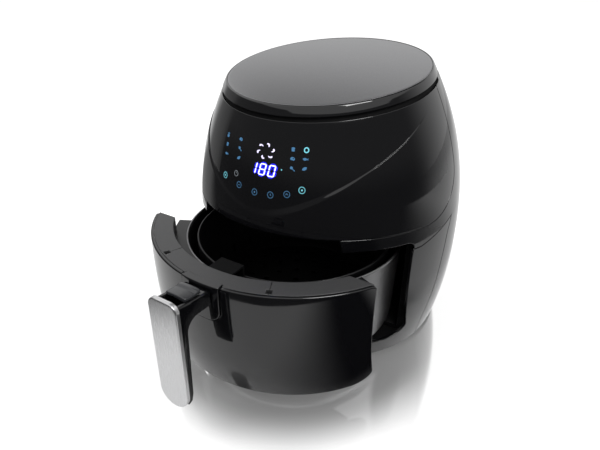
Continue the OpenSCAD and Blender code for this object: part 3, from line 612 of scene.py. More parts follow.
def barrel_place(shift=0.0, proud=0.0):
    """A rule that wraps flat points on the barrel, shifted along Y and standing proud."""
    def place(u, v):
        a = math.radians(u / PER_DEGREE)
        r = barrel_r(v) + proud
        return Vector((r * math.sin(a), shift - r * math.cos(a), v))
    return place


def arc(x, y, rx, ry, start, end, parts=10):
    """Points of an arc; the angles are in degrees."""
    return [(x + rx * math.cos(math.radians(start + (end - start) * k / parts)),
             y + ry * math.sin(math.radians(start + (end - start) * k / parts)))
            for k in range(parts + 1)]


def mirrored(half):
    """A line from the middle out to the right and back, with its mirror image added."""
    return half + [(-x, z) for x, z in reversed(half) if abs(x) > 1e-6]


print("lid plane on the barrel, front and back:", round(tilted_z(0, LID_TOP), 1),
      round(tilted_z(180, LID_TOP), 1))

# %% [markdown]
# The front cover carries the control panel. Below the panel a shallow step runs across in a
# smile: a bevel about 10 mm tall in the middle that tightens into a crease at the sides, where
# it catches the light, and fades out towards the side seams. Extra lines of points follow the
# step so that the even triangles don't blur it.

# %% The front cover and its smile
SMILE_Z = 177.0
SMILE_RISE = 1.35
SMILE_ROUND = 22.0
PANEL_SET = 1.5


def smile_z(degrees):
    """Height of the panel's lower edge."""
    return SMILE_Z - SMILE_ROUND + math.hypot(SMILE_ROUND, SMILE_RISE * degrees)


def bevel_height(degrees):
    """Height of the bevel below the panel's edge."""
    return max(1.3, 9.5 * (1 - (min(46, abs(degrees)) / 46) ** 1.1))


def set_back(degrees, z):
    """How far the cover is set back at a place."""
    t = (z - smile_z(degrees)) / bevel_height(degrees) + 1
    t = max(0.0, min(1.0, t))
    eased = t * t * (3 - 2 * t) * 0.4 + t * 0.6 if 0 < t < 1 else t
    fade = max(0.0, min(1.0, (78 - abs(degrees)) / 26))
    return PANEL_SET * eased * fade * fade * (3 - 2 * fade)


def cover_place(u, v):
    """The cover's surface, with the panel set back above the smile."""
    a = u / PER_DEGREE
    return barrel_place(set_back(a, v))(u, v)


cover_half = [(x, 155 + SEAM) for x in np.linspace(0, from_side(-60 - SEAM, 155 + SEAM)[0], 40)]
cover_half += [from_side(y, z) for y, z in
               arc(-SEAM - 60, 155 + SEAM + 50, 60, -50, 90, 0, 24)[1:]]
side_top = tilted_z(89.9, COVER_TOP)
cover_half += [from_side(-SEAM, z) for z in np.linspace(205 + SEAM, side_top, 24)[1:]]
cover_half += [(a * PER_DEGREE, tilted_z(a, COVER_TOP)) for a in np.linspace(89.9, 0, 90)[1:]]
cover_outline = dense(mirrored(cover_half), 3.0)
smile_lines = [[(a * PER_DEGREE, smile_z(a) - bevel_height(a) * part)
                for a in np.linspace(-76, 76, 153)]
               for part in (-0.08, 0.0, 0.12, 0.3, 0.5, 0.7, 0.88, 1.0, 1.08)]
build("front_cover_shell", [cut_sheet(cover_outline, cover_place, lines=smile_lines)],
      "housing", piano_black, "gloss_black", "front_cover")

# %% [markdown]
# The surround frames the drawer's mouth like a horseshoe, and the rear shell is all the rest,
# with a narrow strip that reaches forward on each side between the two. The rear shell is cut
# in a right and a left half that meet at the back. Both halves take their normals from the same
# formula, so no joint shows there.

# %% The drawer surround and the rear shell
side_seam = [(-33, 4), (-33, 34), (-28, 58), (-22, 103), (-17, 133), (-9, 151)]
mouth_side = [(131.5, z) for z in np.linspace(135, 39.5, 36)]
mouth_side += arc(115.5, 39.5, 16, 16, 0, -90, 12)[1:]
mouth_side += [(x, 23.5) for x in np.linspace(115.5, 0, 40)[1:]]
surround_half = [(a * PER_DEGREE, 4.0) for a in
                 np.linspace(0, from_side(-33 - SEAM, 4)[0] / PER_DEGREE, 60)]
surround_half += [from_side(y - SEAM, z - (SEAM if z > 150 else 0)) for y, z in
                  [tuple(p) for p in dense(side_seam, 3.0, closed=False)][1:]]
surround_half += [from_side(y, z - SEAM) for y, z in
                  [tuple(p) for p in dense([(-9, 151), (-62, 135.5), (-69.6, 135.35)], 3.0,
                                           closed=False)][1:]]
surround_half += [from_front(x, z) for x, z in mouth_side]
surround_outline = dense(mirrored(surround_half), 3.0)
build("drawer_surround_shell", [cut_sheet(surround_outline, barrel_place())],
      "housing", piano_black, "gloss_black", "drawer_surround")

BACK = 180 * PER_DEGREE
outlet_x = BACK - from_front(46, 195)[0]
foot_turn = from_side(-33, 4)[0] / PER_DEGREE
rear_half = [(a * PER_DEGREE, 4.0) for a in np.linspace(foot_turn, 180, 60)]
rear_half += [(BACK, z) for z in np.linspace(4, 32, 8)[1:]]
rear_half += arc(BACK, 40, 8, 8, 270, 90, 16)[1:]
rear_half += [(BACK, z) for z in np.linspace(48, 168, 30)[1:]]
rear_half += [(outlet_x, 168), (outlet_x, 222), (BACK, 222)]
rear_half += [(BACK, z) for z in np.linspace(222, tilted_z(180, COVER_TOP), 20)[1:]]
rear_half += [(a * PER_DEGREE, tilted_z(a, COVER_TOP)) for a in np.linspace(180, 90, 90)[1:]]
rear_half += [from_side(0, z) for z in np.linspace(tilted_z(90, COVER_TOP), 205, 24)[1:]]
rear_half += [from_side(y, z) for y, z in arc(-60, 205, 60, -50, 0, 90, 24)[1:]]
rear_half += [from_front(x, 155) for x in
              np.linspace(math.sqrt(barrel_r(155) ** 2 - 60 ** 2), 79, 20)[1:]]
rear_half += [from_front(82, 143)]
rear_half += [from_front(x, 143) for x in np.linspace(82, 126.5, 16)[1:]]
rear_half += [from_front(x, z) for x, z in arc(126.5, 138, 5, 5, 90, 0, 8)[1:]]
rear_half += [from_side(y, z) for y, z in
              [tuple(p) for p in dense([(-69.6, 135.65), (-62, 135.5), (-9, 151)], 3.0,
                                       closed=False)]]
rear_half += [from_side(y, z) for y, z in
              [tuple(p) for p in dense(side_seam[::-1], 3.0, closed=False)][1:-1]]
rear_outline = dense(rear_half, 3.0)
rear_parts = [cut_sheet(line, barrel_place(), is_open=lambda a, b: min(abs(a.x), abs(b.x)) >= BACK)
              for line in (rear_outline, [Vector((-p.x, p.y)) for p in rear_outline])]
build("rear_shell_skin", rear_parts, "housing", piano_black, "gloss_black", "rear_shell")

# %% [markdown]
# The lid is a slice of the same barrel between two tilted planes, 8 mm apart. Rings of points
# are laid round it, from the underside, round the outside, over the top edge and into the
# recess for the disc, and joined up.

# %% The lid band
DISC_R = 104.6
DISC_T = 2.6
lid_slope = Matrix.Rotation(math.radians(TILT), 4, "X")
disc_back = -barrel_r(LID_TOP) * math.sin(math.radians(TILT)) * 0.62
on_lid = Matrix.Translation((0, 0, LID_TOP)) @ lid_slope @ Matrix.Translation((0, disc_back, 0))
ROUND_STEPS = 288


def band_ring(height, depth):
    """Ring on the barrel at a tilted height, depth mm under its surface."""
    ring = []
    for k in range(ROUND_STEPS):
        a = 360 * k / ROUND_STEPS
        z = tilted_z(a, height)
        r = barrel_r(z) - depth
        ring.append((r * math.sin(math.radians(a)), -r * math.cos(math.radians(a)), z))
    return ring


def disc_ring(radius, height):
    """Ring round the middle of the lid's face."""
    ring = []
    for k in range(ROUND_STEPS):
        a = 2 * math.pi * k / ROUND_STEPS
        ring.append(tuple(on_lid @ Vector((radius * math.sin(a), -radius * math.cos(a), height))))
    return ring


band_rings = [band_ring(279, 3.0), band_ring(277, 3.0), band_ring(277.0, 0.9),
              band_ring(277.12, 0.45), band_ring(277.4, 0.12), band_ring(277.9, 0.0),
              band_ring(279.9, 0.0), band_ring(282.0, 0.0), band_ring(284.0, 0.0),
              band_ring(284.5, 0.12), band_ring(284.85, 0.45), band_ring(LID_TOP, 0.95),
              disc_ring(DISC_R + 0.35, 0.0), disc_ring(DISC_R + 0.1, -0.1),
              disc_ring(DISC_R, -0.4), disc_ring(DISC_R, -DISC_T), disc_ring(DISC_R - 4, -DISC_T),
              disc_ring(DISC_R - 4, -DISC_T - 1.8)]
loft("lid_band_ring", band_rings, "housing", piano_black, "gloss_black", "lid_band")

# %% [markdown]
# The disc that lies in the band is turned, with a crown of 1.2 mm. A flat disc would mirror one
# even tone; the crown is what gives the lid its slow gradient.

# %% The lid disc
disc_profile = [(0.01, -DISC_T), (DISC_R - 0.12, -DISC_T), (DISC_R - 0.12, -0.5),
                (DISC_R - 0.2, -0.2), (DISC_R - 0.42, -0.03), (DISC_R - 0.8, 0.04)]
disc_profile += [(DISC_R * t, 1.2 * (1 - t * t)) for t in np.linspace(0.97, 0.02, 24)]
disc_profile += [(0.01, 1.2)]
disc_rings = [[tuple(on_lid @ Vector(p)) for p in ring] for ring in turned_rings(disc_profile)]
loft("lid_disc_crowned", disc_rings, "housing", satin_lacquer, "satin_lid", "lid_disc")

# %% [markdown]
# The drawer front is one more piece of the same barrel, moved out with the drawer. A U-shaped
# seat for the handle is cut out of its top edge, and the handle's root fills the seat and
# stands 1.2 mm proud of it.

# %% The drawer front and the handle's root
drawer_place = barrel_place(-PULLED)
front_half = [(x, 25) for x in np.linspace(0, 115, 40)]
front_half += arc(115, 39, 14, 14, -90, 0, 12)[1:]
front_half += [(129, z) for z in np.linspace(39, 137, 36)[1:]]
front_half += arc(125, 137, 4, 4, 0, 90, 8)[1:]
front_half += [(x, 141) for x in np.linspace(125, 20.25, 36)[1:]]
seat = [(20.25, z) for z in np.linspace(141, 117.75, 9)[1:]]
seat += arc(8.25, 117.75, 12, 12, 0, -90, 10)[1:]
front_half += seat + [(0, 105.75)]
front_outline = dense([from_front(x, z) for x, z in mirrored(front_half)], 3.0)
flange_line = [(r * math.sin(math.radians(a)), r * -math.cos(math.radians(a)))
               for r, sweep in ((139.2, np.linspace(-55, 55, 80)), (120, np.linspace(50, -50, 60)))
               for a in sweep]
flange = cut_sheet(flange_line, lambda x, y: Vector((x, y - PULLED, 28)), edge=0.3, cell=8)
build("drawer_front_shell", [cut_sheet(front_outline, drawer_place, edge=1.4), flange],
      "drawer", piano_black, "gloss_black", "drawer_front")

root_half = [(x, 106) for x in np.linspace(0, 8, 4)] + arc(8, 118, 12, 12, -90, 0, 10)[1:]
root_half += [(20, z) for z in np.linspace(118, 141.4, 9)[1:]] + [(0, 141.4)]
root_outline = dense([from_front(x, z) for x, z in mirrored(root_half)], 2.0)
build("handle_root_block",
      [cut_sheet(root_outline, barrel_place(-PULLED, 1.2), thick=7.1, edge=0.8, cell=3.0)],
      "basket_assembly", piano_black, "gloss_black", "handle_root")

# %% [markdown]
# The rim is a flat grained ring that closes the drawer front at the top. The part between the
# two small square notches is the bridge: it belongs to the basket and lifts out with it.

# %% The rim and its bridge
RIM_Z = 141.0
RIM_INNER = 127.0
BRIDGE = 24.0
rim_outer = barrel_r(RIM_Z) - WALL - 0.1
end_y = -math.sqrt(barrel_r(RIM_Z) ** 2 - 129 ** 2)


def around(radius, start, end, step=1.0):
    """Plan points round the axis; 0 degrees is the front, and right is positive."""
    count = max(2, round(abs(end - start) / step))
    return [(radius * math.sin(math.radians(start + (end - start) * k / count)),
             -radius * math.cos(math.radians(start + (end - start) * k / count)))
            for k in range(count + 1)]


def across(radius, aside, degrees):
    """Plan point at a radius, aside mm to the right of the line at an angle."""
    a = math.radians(degrees)
    return (radius * math.sin(a) + aside * math.cos(a),
            -radius * math.cos(a) + aside * math.sin(a))


def rim_place(x, y):
    """The flat top of the drawer's rim."""
    return Vector((x, y - PULLED, RIM_Z))


def lip_place(radius):
    """The inside of the rim's lip: a wall that faces the basket."""
    def place(u, v):
        a = math.radians(-u / PER_DEGREE)
        return Vector((radius * math.sin(a), -radius * math.cos(a) - PULLED, v))
    return place


notch = 2.5
rim_parts = []
end_out = math.degrees(math.acos(-end_y / rim_outer))
end_in = math.degrees(math.acos(-end_y / RIM_INNER))
for side in (1, -1):
    line = around(RIM_INNER, BRIDGE, end_in) + around(rim_outer, end_out, BRIDGE)
    line += [across(144, 0, BRIDGE), across(144, notch, BRIDGE), across(139, notch, BRIDGE),
             across(139, 0, BRIDGE)]
    line = [Vector((side * x, y)) for x, y in line]
    rim_parts.append(cut_sheet(line, rim_place, thick=3.5, edge=0.5, cell=4.0))
    start, stop = sorted((-side * BRIDGE * PER_DEGREE, -side * end_in * PER_DEGREE))
    lip = dense([(start, 126.6), (stop, 126.6), (stop, 137.6), (start, 137.6)], 3.0)
    rim_parts.append(cut_sheet(lip, lip_place(RIM_INNER), thick=2.5, edge=0.3, cell=4.0))
build("drawer_rim_grained", rim_parts, "drawer", grey_abs, "matt_grey", "drawer_rim")

bridge_end = BRIDGE - 0.15
root_turn = math.degrees(math.asin(20 / (barrel_r(RIM_Z) - 6)))
bridge_half = around(rim_outer - 0.3, root_turn + 0.05, bridge_end)
bridge_half += [across(144, 0, bridge_end), across(144, -notch, bridge_end),
                across(139, -notch, bridge_end), across(139, 0, bridge_end)]
bridge_half += around(RIM_INNER, bridge_end, 0)
bridge_line = around(barrel_r(RIM_Z) - 6, 0, root_turn) + bridge_half
bridge_line += [(-x, y) for x, y in reversed(bridge_line[1:-1])]
build("handle_bridge_grained", [cut_sheet(bridge_line, rim_place, thick=3.5, edge=0.5)],
      "basket_assembly", grey_abs, "matt_grey", "handle_bridge")
cap_turn = math.degrees(math.asin(19.7 / barrel_r(RIM_Z)))
root_cap = around(barrel_r(RIM_Z) + 0.7, cap_turn, -cap_turn)
root_cap += around(barrel_r(RIM_Z) - 5.6, -cap_turn, cap_turn)
build("handle_root_cap",
      [cut_sheet(root_cap, lambda x, y: Vector((x, y - PULLED, RIM_Z + 0.6)), thick=0.5,
                 edge=0.2)],
      "basket_assembly", grey_abs, "matt_grey")

# %% [markdown]
# Inside the drawer sits a pressed pan. Its outside is bare coated steel, and its inside has the
# same black coat as the basket, so it is turned in two skins. The top edge is rolled over a
# wire, a small bright line against the dark inside.

# %% The pan
PAN_R = 115.0
PAN_FLOOR_R = 111.0
PAN_LOW = 30.0
PAN_TOP = 125.0
SHEET = 1.2
middle = (0.0, -PULLED)
pan_out = [(0.01, PAN_LOW), *arc(PAN_FLOOR_R - 10, PAN_LOW + 10, 10, 10, -90, 0, 8),
           (PAN_R - 0.4, PAN_TOP - 2.5), *arc(PAN_R - 0.2, PAN_TOP, 1.4, 1.4, -80, 200, 14),
           (PAN_R - SHEET, PAN_TOP - 2.5), (PAN_R - SHEET, PAN_TOP - 6)]
loft("pan_outside", turned_rings(pan_out, middle), "drawer", aluminised, "coated_sheet", "pan",
     tube=False)
pan_in = [(PAN_R - SHEET - 0.15, PAN_TOP - 2.2),
          *arc(PAN_FLOOR_R - 10, PAN_LOW + 10, 8.8, 8.8, 0, -90, 8), (0.01, PAN_LOW + SHEET)]
loft("pan_inside", turned_rings(pan_in, middle), "drawer", nonstick, "nonstick", tube=False)
shelf = around(129.3, 64, -64) + around(PAN_R - 0.4, -64, 64)
build("pan_shelf", [cut_sheet(shelf, lambda x, y: Vector((x, y - PULLED, PAN_TOP + 1.2)),
                              thick=1.4, edge=0.3)], "drawer", nonstick, "nonstick")

# %% [markdown]
# The basket hangs in the pan with a finger's width of air round it. Its wall is drawn flat like
# the shells, with a row of slots for the air, and its floor is a disc with rings of holes that
# let the fat drip through.

# %% The basket and its floor
BASKET_R = 105.0
BASKET_FLOOR_R = 102.0
BASKET_LOW = 38.0
BASKET_TOP = 123.0


def basket_place(u, v):
    """The basket's slightly conical wall."""
    a = math.radians(u / PER_DEGREE)
    r = BASKET_FLOOR_R + (BASKET_R - BASKET_FLOOR_R) * (v - BASKET_LOW) / (BASKET_TOP - BASKET_LOW)
    return Vector((r * math.sin(a), -PULLED - r * math.cos(a), v))


def slot_line(u, low, high, half):
    """Outline of an upright slot with round ends."""
    return arc(u, high - half, half, half, 0, 180, 8) + arc(u, low + half, half, half, 180, 360, 8)


basket_parts = []
stretch = 180 * PER_DEGREE
for start in (-stretch, 0.0):
    line = dense([(start, 40.5), (start + stretch, 40.5), (start + stretch, BASKET_TOP),
                  (start, BASKET_TOP)], 4.0)
    slots = [slot_line(start + (i + 0.5) * 15 * PER_DEGREE, BASKET_LOW + 14, BASKET_LOW + 28, 2.2)
             for i in range(12)]
    basket_parts.append(cut_sheet(line, basket_place, slots, thick=SHEET, edge=0.3, cell=5.0))
build("basket_wall", basket_parts, "basket_assembly", nonstick, "nonstick", "basket")

floor_r = BASKET_FLOOR_R - SHEET - 0.3
pitch = (floor_r - 8) / 4.4
hole_spots = [(0.0, 0.0)]
hole_spots += [(k * pitch * math.cos(math.radians(60 / k * i)),
                k * pitch * math.sin(math.radians(60 / k * i)))
               for k in range(1, 5) for i in range(6 * k)]
floor_holes = [arc(x, y, 3.5, 3.5, 0, 345, 23) for x, y in hole_spots]
floor_line = arc(0, 0, floor_r, floor_r, 0, 358, 179)
build("basket_floor_disc",
      [cut_sheet(floor_line, lambda x, y: Vector((x, y - PULLED, BASKET_LOW + 2.4)), floor_holes,
                 thick=SHEET, edge=0.35, cell=6.0)],
      "basket_assembly", nonstick, "nonstick", "basket_floor")

rim_roll = [(BASKET_R - 1.4 + 1.4 * math.cos(t), BASKET_TOP + 1.4 * math.sin(t))
            for t in np.linspace(0, 2 * math.pi, 13)[:-1]]
foot_curl = fillet([(BASKET_FLOOR_R + 0.1, 41.5), (BASKET_FLOOR_R - 0.1, BASKET_LOW + 1),
                    (BASKET_FLOOR_R - 2, BASKET_LOW), (BASKET_FLOOR_R - 7, BASKET_LOW),
                    (BASKET_FLOOR_R - 7, BASKET_LOW + 1.1), (BASKET_FLOOR_R - 2, BASKET_LOW + 1.2),
                    (BASKET_FLOOR_R - 1.1, 41.5)], 0.6, closed=True)
loft("basket_rolled_rim", turned_rings(rim_roll, middle), "basket_assembly", nonstick, "nonstick")
loft("basket_foot_curl", turned_rings([tuple(p) for p in foot_curl], middle), "basket_assembly",
     nonstick, "nonstick")
for number, angle in enumerate((45, 135, 225, 315)):
    x = 96 * math.cos(math.radians(angle))
    y = 96 * math.sin(math.radians(angle)) - PULLED
    leg = fillet([(0.01, 31.5), (4.4, 31.5), (4.4, 39), (0.01, 39)], [0, 1.0, 0, 0], closed=True)
    loft(f"basket_leg_{number}", turned_rings([tuple(p) for p in leg], (x, y), 32),
         "basket_assembly", nonstick, "nonstick")

# %% [markdown]
# The handle's arm and grip are one black moulding. It starts as its side view, pushed out to its
# width. A boolean sinks the pocket for the release button, and a bevel rounds every corner,
# because a moulded grip has no sharp ones.

# %% The arm and the grip
ARM_W = 27.0
ARM_Z = 138.3
ARM_RISE = 8.0
PLATE_T = 4.0
PLATE_TOP = 148.0
PLATE_LEN = 110.0
PLATE_W = 31.0
LEAN = 2.0
GRIP_T = 7.0
arm_y = -barrel_r(130)
face_y = arm_y - 41.0


def plain_mesh(name, ring, push):
    """A closed mesh of a flat ring of points pushed out by a vector."""
    mesh = bpy.data.meshes.new(name)
    bm = bmesh.new()
    face = bm.faces.new([bm.verts.new(Vector(p) * MM) for p in ring])
    pushed = bmesh.ops.extrude_face_region(bm, geom=[face])
    bmesh.ops.translate(bm, vec=Vector(push) * MM,
                        verts=[v for v in pushed["geom"] if isinstance(v, bmesh.types.BMVert)])
    bmesh.ops.recalc_face_normals(bm, faces=bm.faces)
    bm.to_mesh(mesh)
    bm.free()
    return mesh


def moulded(name, mesh, bevel, cutter=None):
    """The mesh after its pocket is cut and its corners are rounded by bevel mm."""
    obj = bpy.data.objects.new(name, mesh)
    bpy.context.scene.collection.objects.link(obj)
    helpers = [obj]
    if cutter:
        helpers.append(bpy.data.objects.new(name + "_cutter", cutter))
        bpy.context.scene.collection.objects.link(helpers[1])
        cut = obj.modifiers.new("pocket", "BOOLEAN")
        cut.object = helpers[1]
        cut.operation = "DIFFERENCE"
        cut.solver = "EXACT"
    rounding = obj.modifiers.new("moulded_edges", "BEVEL")
    rounding.width = bevel * MM
    rounding.segments = 4
    rounding.limit_method = "ANGLE"
    rounding.angle_limit = math.radians(32)
    bpy.context.view_layer.update()
    made = bpy.data.meshes.new_from_object(obj.evaluated_get(
        bpy.context.evaluated_depsgraph_get()))
    for helper in helpers:
        bpy.data.objects.remove(helper)
    made.name = name
    return made


def handle_side():
    """Side view of the arm and the grip, front of the root to the foot and back."""
    back = face_y + PLATE_T + 0.1
    foot_z = PLATE_TOP - PLATE_LEN + 4
    lean = math.tan(math.radians(LEAN))
    top_y = back - 5 * lean
    foot_y = back - (PLATE_TOP - foot_z) * lean
    inner = back + GRIP_T
    root_y = arm_y - 1.45
    top_z = ARM_Z + (arm_y - top_y) * math.tan(math.radians(ARM_RISE))
    line = [(root_y, ARM_Z), (top_y, top_z), (foot_y, foot_z), (foot_y + GRIP_T * 0.7, foot_z + 2),
            (foot_y + GRIP_T, foot_z + 9)]
    line += [(inner + 12 * (1 - math.cos(math.radians(a))), 113 + 12 * math.sin(math.radians(a)))
             for a in np.linspace(0, 90, 22)]
    line += [(root_y, 124)]
    return [(y - PULLED, z) for y, z in line]


on_arm = (Matrix.Translation((0, arm_y - PULLED, ARM_Z))
          @ Matrix.Rotation(math.radians(-ARM_RISE), 4, "X"))


grip = plain_mesh("grip_side", [(-ARM_W / 2, y, z) for y, z in handle_side()], (ARM_W, 0, 0))
pocket_ring = [on_arm @ Vector((x, y, -11))
               for x, y in ((-9, -35), (9, -35), (9, -8), (-9, -8))]
pocket = plain_mesh("button_pocket", pocket_ring, (on_arm.to_3x3() @ Vector((0, 0, 17))))
finish_mesh("handle_grip", moulded("handle_grip", grip, 1.6, pocket), "basket_assembly",
            piano_black, ["handle_shell"])

# %% [markdown]
# The plate on the grip is pressed aluminium, satin anodised. Its outline has round upper corners
# and a half-round foot; a bevel of 1.2 mm runs round its face and gives the bright line there.

# %% The handle's plate
def plate_outline(width, length, corner):
    """Front view of the plate, hanging from its top edge."""
    w = width / 2
    line = arc(w - corner, -corner, corner, corner, 0, 90, 12)
    line += arc(corner - w, -corner, corner, corner, 90, 180, 12)
    line += arc(0, w - length, w, w, 180, 360, 32)
    return line


def plate_place(shift):
    """The plate's face: X across, the outline's height up, leaning out at the foot."""
    leaning = Matrix.Translation((0, face_y - PULLED, PLATE_TOP)) @ Matrix.Rotation(
        math.radians(-LEAN), 4, "X")

    def place(u, v):
        return leaning @ Vector((u, -shift, v))
    return place


plate_line = dense(plate_outline(PLATE_W, PLATE_LEN, 8), 3.0)
build("handle_plate_face",
      [cut_sheet(plate_line, plate_place(0), thick=PLATE_T, edge=1.3, cell=3.0)],
      "basket_assembly", plate_metal, "silver_plate", "handle_plate")

# %% [markdown]
# The slider covers the release button. It is a shallow crowned cap with rolled front and back
# edges, and a raised lip for the thumb across its middle. The button below it shows only
# when the slider is pushed outwards.

# %% The slider and the release button
def cap_place(u, v):
    """The slider's top: crowned across the arm, with a raised lip for the thumb at the back."""
    crown = 0.6 * (u / 11) ** 2
    t = max(0.0, min(1.0, (v + 16.5) / 4.0))
    return on_arm @ Vector((u, v, 3.2 - crown + 1.1 * t * t * (3 - 2 * t)))


cap_line = [tuple(p) for p in fillet([(-11, -27), (11, -27), (11, -9), (-11, -9)], 2.2,
                                     closed=True)]
lip_lines = [[(u, v) for u in np.linspace(-9.5, 9.5, 11)] for v in np.linspace(-17, -12, 9)]
build("button_slider", [cut_sheet(dense(cap_line, 2.0), cap_place, thick=2.4, edge=0.9, cell=2.0,
                                  lines=lip_lines)],
      "button_cover", smoke_plastic, "smoke_grey", "button_cover")
key_line = [tuple(p) for p in fillet([(-7.4, -19.2), (7.4, -19.2), (7.4, -8.4), (-7.4, -8.4)], 1.2,
                                     closed=True)]
build("release_key",
      [cut_sheet(dense(key_line, 2.0), lambda u, v: on_arm @ Vector((u, v, -0.65)), thick=6.2,
                 edge=0.8, cell=2.0)],
      "release_button", smoke_plastic, "smoke_grey", "release_button")

# %% [markdown]
# Under the button sits its spring, wound from 0.9 mm wire. A coil is a ring of points carried
# along a helix; the ends shrink to a point.

# %% The button's spring
COIL_R = 3.0
WIRE_R = 0.45
COIL_LOW = -10.9
COIL_HIGH = -7.0
COIL_TURNS = 3.0


def coil_ring(part, radius):
    """Ring of points round the wire, part of the way up the helix."""
    a = 2 * math.pi * COIL_TURNS * part
    rise = COIL_LOW + WIRE_R + (COIL_HIGH - COIL_LOW - 2 * WIRE_R) * part
    ring = []
    for k in range(10):
        t = 2 * math.pi * k / 10
        r = COIL_R + radius * math.cos(t)
        ring.append(tuple(on_arm @ Vector((r * math.cos(a), r * math.sin(a) - 13.8,
                                           rise + radius * math.sin(t)))))
    return ring


coil_rings = [coil_ring(0.0, 0.02)]
coil_rings += [coil_ring(part, WIRE_R) for part in np.linspace(0, 1, 91)]
coil_rings += [coil_ring(1.0, 0.02)]
coil = loft("button_coil", coil_rings, "basket_assembly", stainless, "steel", "button_spring",
            tube=False)
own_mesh(coil)

# %% [markdown]
# The panel's marks are thin films on the cover. They could be an image, but cut shapes stay
# sharp from any distance. Each is drawn in mm round its own middle, then placed by its angle
# round the body and its height.

# %% Marks on the panel
def on_panel(degrees, height, proud):
    """A rule that lays a small drawing on the control panel."""
    per_mm_round = 1 / (barrel_r(height) * math.pi / 180)

    def place(x, y):
        u = (degrees + x * per_mm_round) * PER_DEGREE
        v = height + y
        here = cover_place(u, v)
        du = cover_place(u + 0.1, v) - cover_place(u - 0.1, v)
        dv = cover_place(u, v + 0.1) - cover_place(u, v - 0.1)
        return here + du.cross(dv).normalized() * proud
    return place


def film(shapes, degrees, height, proud=0.12, size=1.0, tall=1.0):
    """Films cut to the given outlines. A shape is an outline, or an outline and its hole."""
    made = []
    for shape in shapes:
        hollow = isinstance(shape[0], list)
        outline, holes = (shape[0], shape[1:]) if hollow else (shape, [])
        scaled = [[(x * size, y * size * tall) for x, y in loop] for loop in (outline, *holes)]
        made.append(cut_sheet(scaled[0], on_panel(degrees, height, proud), scaled[1:],
                              thick=0.1, edge=0, cell=50))
    return made


def disc(x, y, rx, ry=None):
    """A filled circle or oval."""
    return arc(x, y, rx, ry or rx, 0, 340, 17)


def ring(x, y, outer, inner):
    """A circle and its hole."""
    return [disc(x, y, outer), disc(x, y, inner)]


def bar(x0, y0, x1, y1, width):
    """A short straight stroke."""
    way = Vector((x1 - x0, y1 - y0)).normalized() * width / 2
    side = (-way.y, way.x)
    return [(x0 + side[0], y0 + side[1]), (x0 - side[0], y0 - side[1]),
            (x1 - side[0], y1 - side[1]), (x1 + side[0], y1 + side[1])]


def stroke(x, y, upright, long, width, grow, lean):
    """One stroke of a seven-stroke digit, a long hexagon that leans to the right."""
    w = width / 2 + grow
    h = long / 2 + grow * 0.6
    line = [(-w, h - w), (0, h), (w, h - w), (w, w - h), (0, -h), (-w, w - h)]
    if not upright:
        line = [(b, a) for a, b in line]
    return [(x + a + lean * (y + b), y + b) for a, b in line]


def digit(number, x, grow):
    """The strokes of 0, 1 or 8, 12 mm tall."""
    sides = {"1": "RS", "8": "LRlrTMB", "0": "LRlrTB"}[number]
    place = {"L": (-2.9, 3), "R": (2.9, 3), "l": (-2.9, -3), "r": (2.9, -3), "S": (2.9, -3),
             "T": (0, 5.9), "M": (0, 0), "B": (0, -5.9)}
    return [stroke(x + place[s][0], place[s][1], s in "LRlrS", 5.6, 1.2, grow, 0.14)
            for s in sides]


DISPLAY = (1.8, 212.0)
white_films, glow_films = [], []
for number, x in (("1", -10.6), ("8", -0.6), ("0", 9.2)):
    glow_films += film(digit(number, x, 1.6), *DISPLAY, proud=0.1, tall=0.8)
    white_films += film(digit(number, x, 0.0), *DISPLAY, proud=0.22, tall=0.8)
build("display_digits", white_films, "housing", digit_white, "display_white")
build("display_glow", glow_films, "housing", digit_glow, "display_white")

blade = [(0.4, 8.5), (1.6, 8.9), (2.8, 8.2), (3.4, 6.9), (3.2, 5.6), (2.3, 4.6), (2.2, 5.6),
         (2.0, 6.5), (1.4, 7.2), (0.4, 7.6)]
blades = []
for k in range(6):
    turn = Matrix.Rotation(math.radians(60 * k), 2)
    blades.append([tuple(turn @ Vector(p)) for p in blade])
build("fan_mark", film(blades, 1.9, 227.8, size=1.08, tall=0.72), "housing", fan_lilac,
      "display_white")

chips = [[(-1.7, -2.4), (1.7, -2.4), (2.2, 0.2), (-2.2, 0.2)], bar(-1.3, 0.5, -1.7, 2.3, 0.7),
         bar(-0.1, 0.5, -0.1, 2.7, 0.7), bar(1.2, 0.5, 1.6, 2.3, 0.7)]
fish = [disc(-0.5, 0, 2.3, 1.3), [(1.7, 0), (3.2, 1.3), (3.2, -1.3)]]
leg = [disc(-0.9, 0.6, 1.7, 1.5), bar(0.3, -0.4, 2.3, -1.9, 0.8), disc(2.5, -2.0, 0.6)]
cake = [[(-1.5, -2.2), (1.5, -2.2), (1.9, -0.1), (-1.9, -0.1)], disc(0, 0.9, 2.1, 1.0)]
steak = [[[(-2.6, 0.2), (-1.6, 1.7), (0.6, 1.9), (2.4, 0.9), (2.7, -0.7), (1.4, -1.7),
           (-0.6, -1.2), (-2.1, -1.2)], disc(0.9, 0.4, 0.7, 0.5)]]
leaf = [[(-2.6, -1.4), (-1.8, 0.6), (0.2, 1.8), (2.6, 1.8), (2.2, -0.3), (0.6, -1.6),
         (-1.4, -1.8)]]
pictures = [(chips, -20.36, 232.2), (cake, -19.65, 224.1), (fish, -19.04, 215.6),
            (steak, -11.63, 232.3), (leg, -11.23, 224.4), (leaf, -11.03, 216.1),
            (cake, 13.44, 232.7), (steak, 13.54, 224.8), (leg, 13.74, 216.8),
            (fish, 18.51, 225.5), (leaf, 18.41, 217.6)]
picture_films = []
for shapes, degrees, height in pictures:
    picture_films += film(shapes, degrees, height, size=0.82)
touches = [(-8.89, 192.3), (-0.98, 190.3), (5.92, 191.0), (12.42, 194.1)]
for degrees, height in touches:
    picture_films += film([ring(0, 0, 3.1, 2.65)], degrees, height)
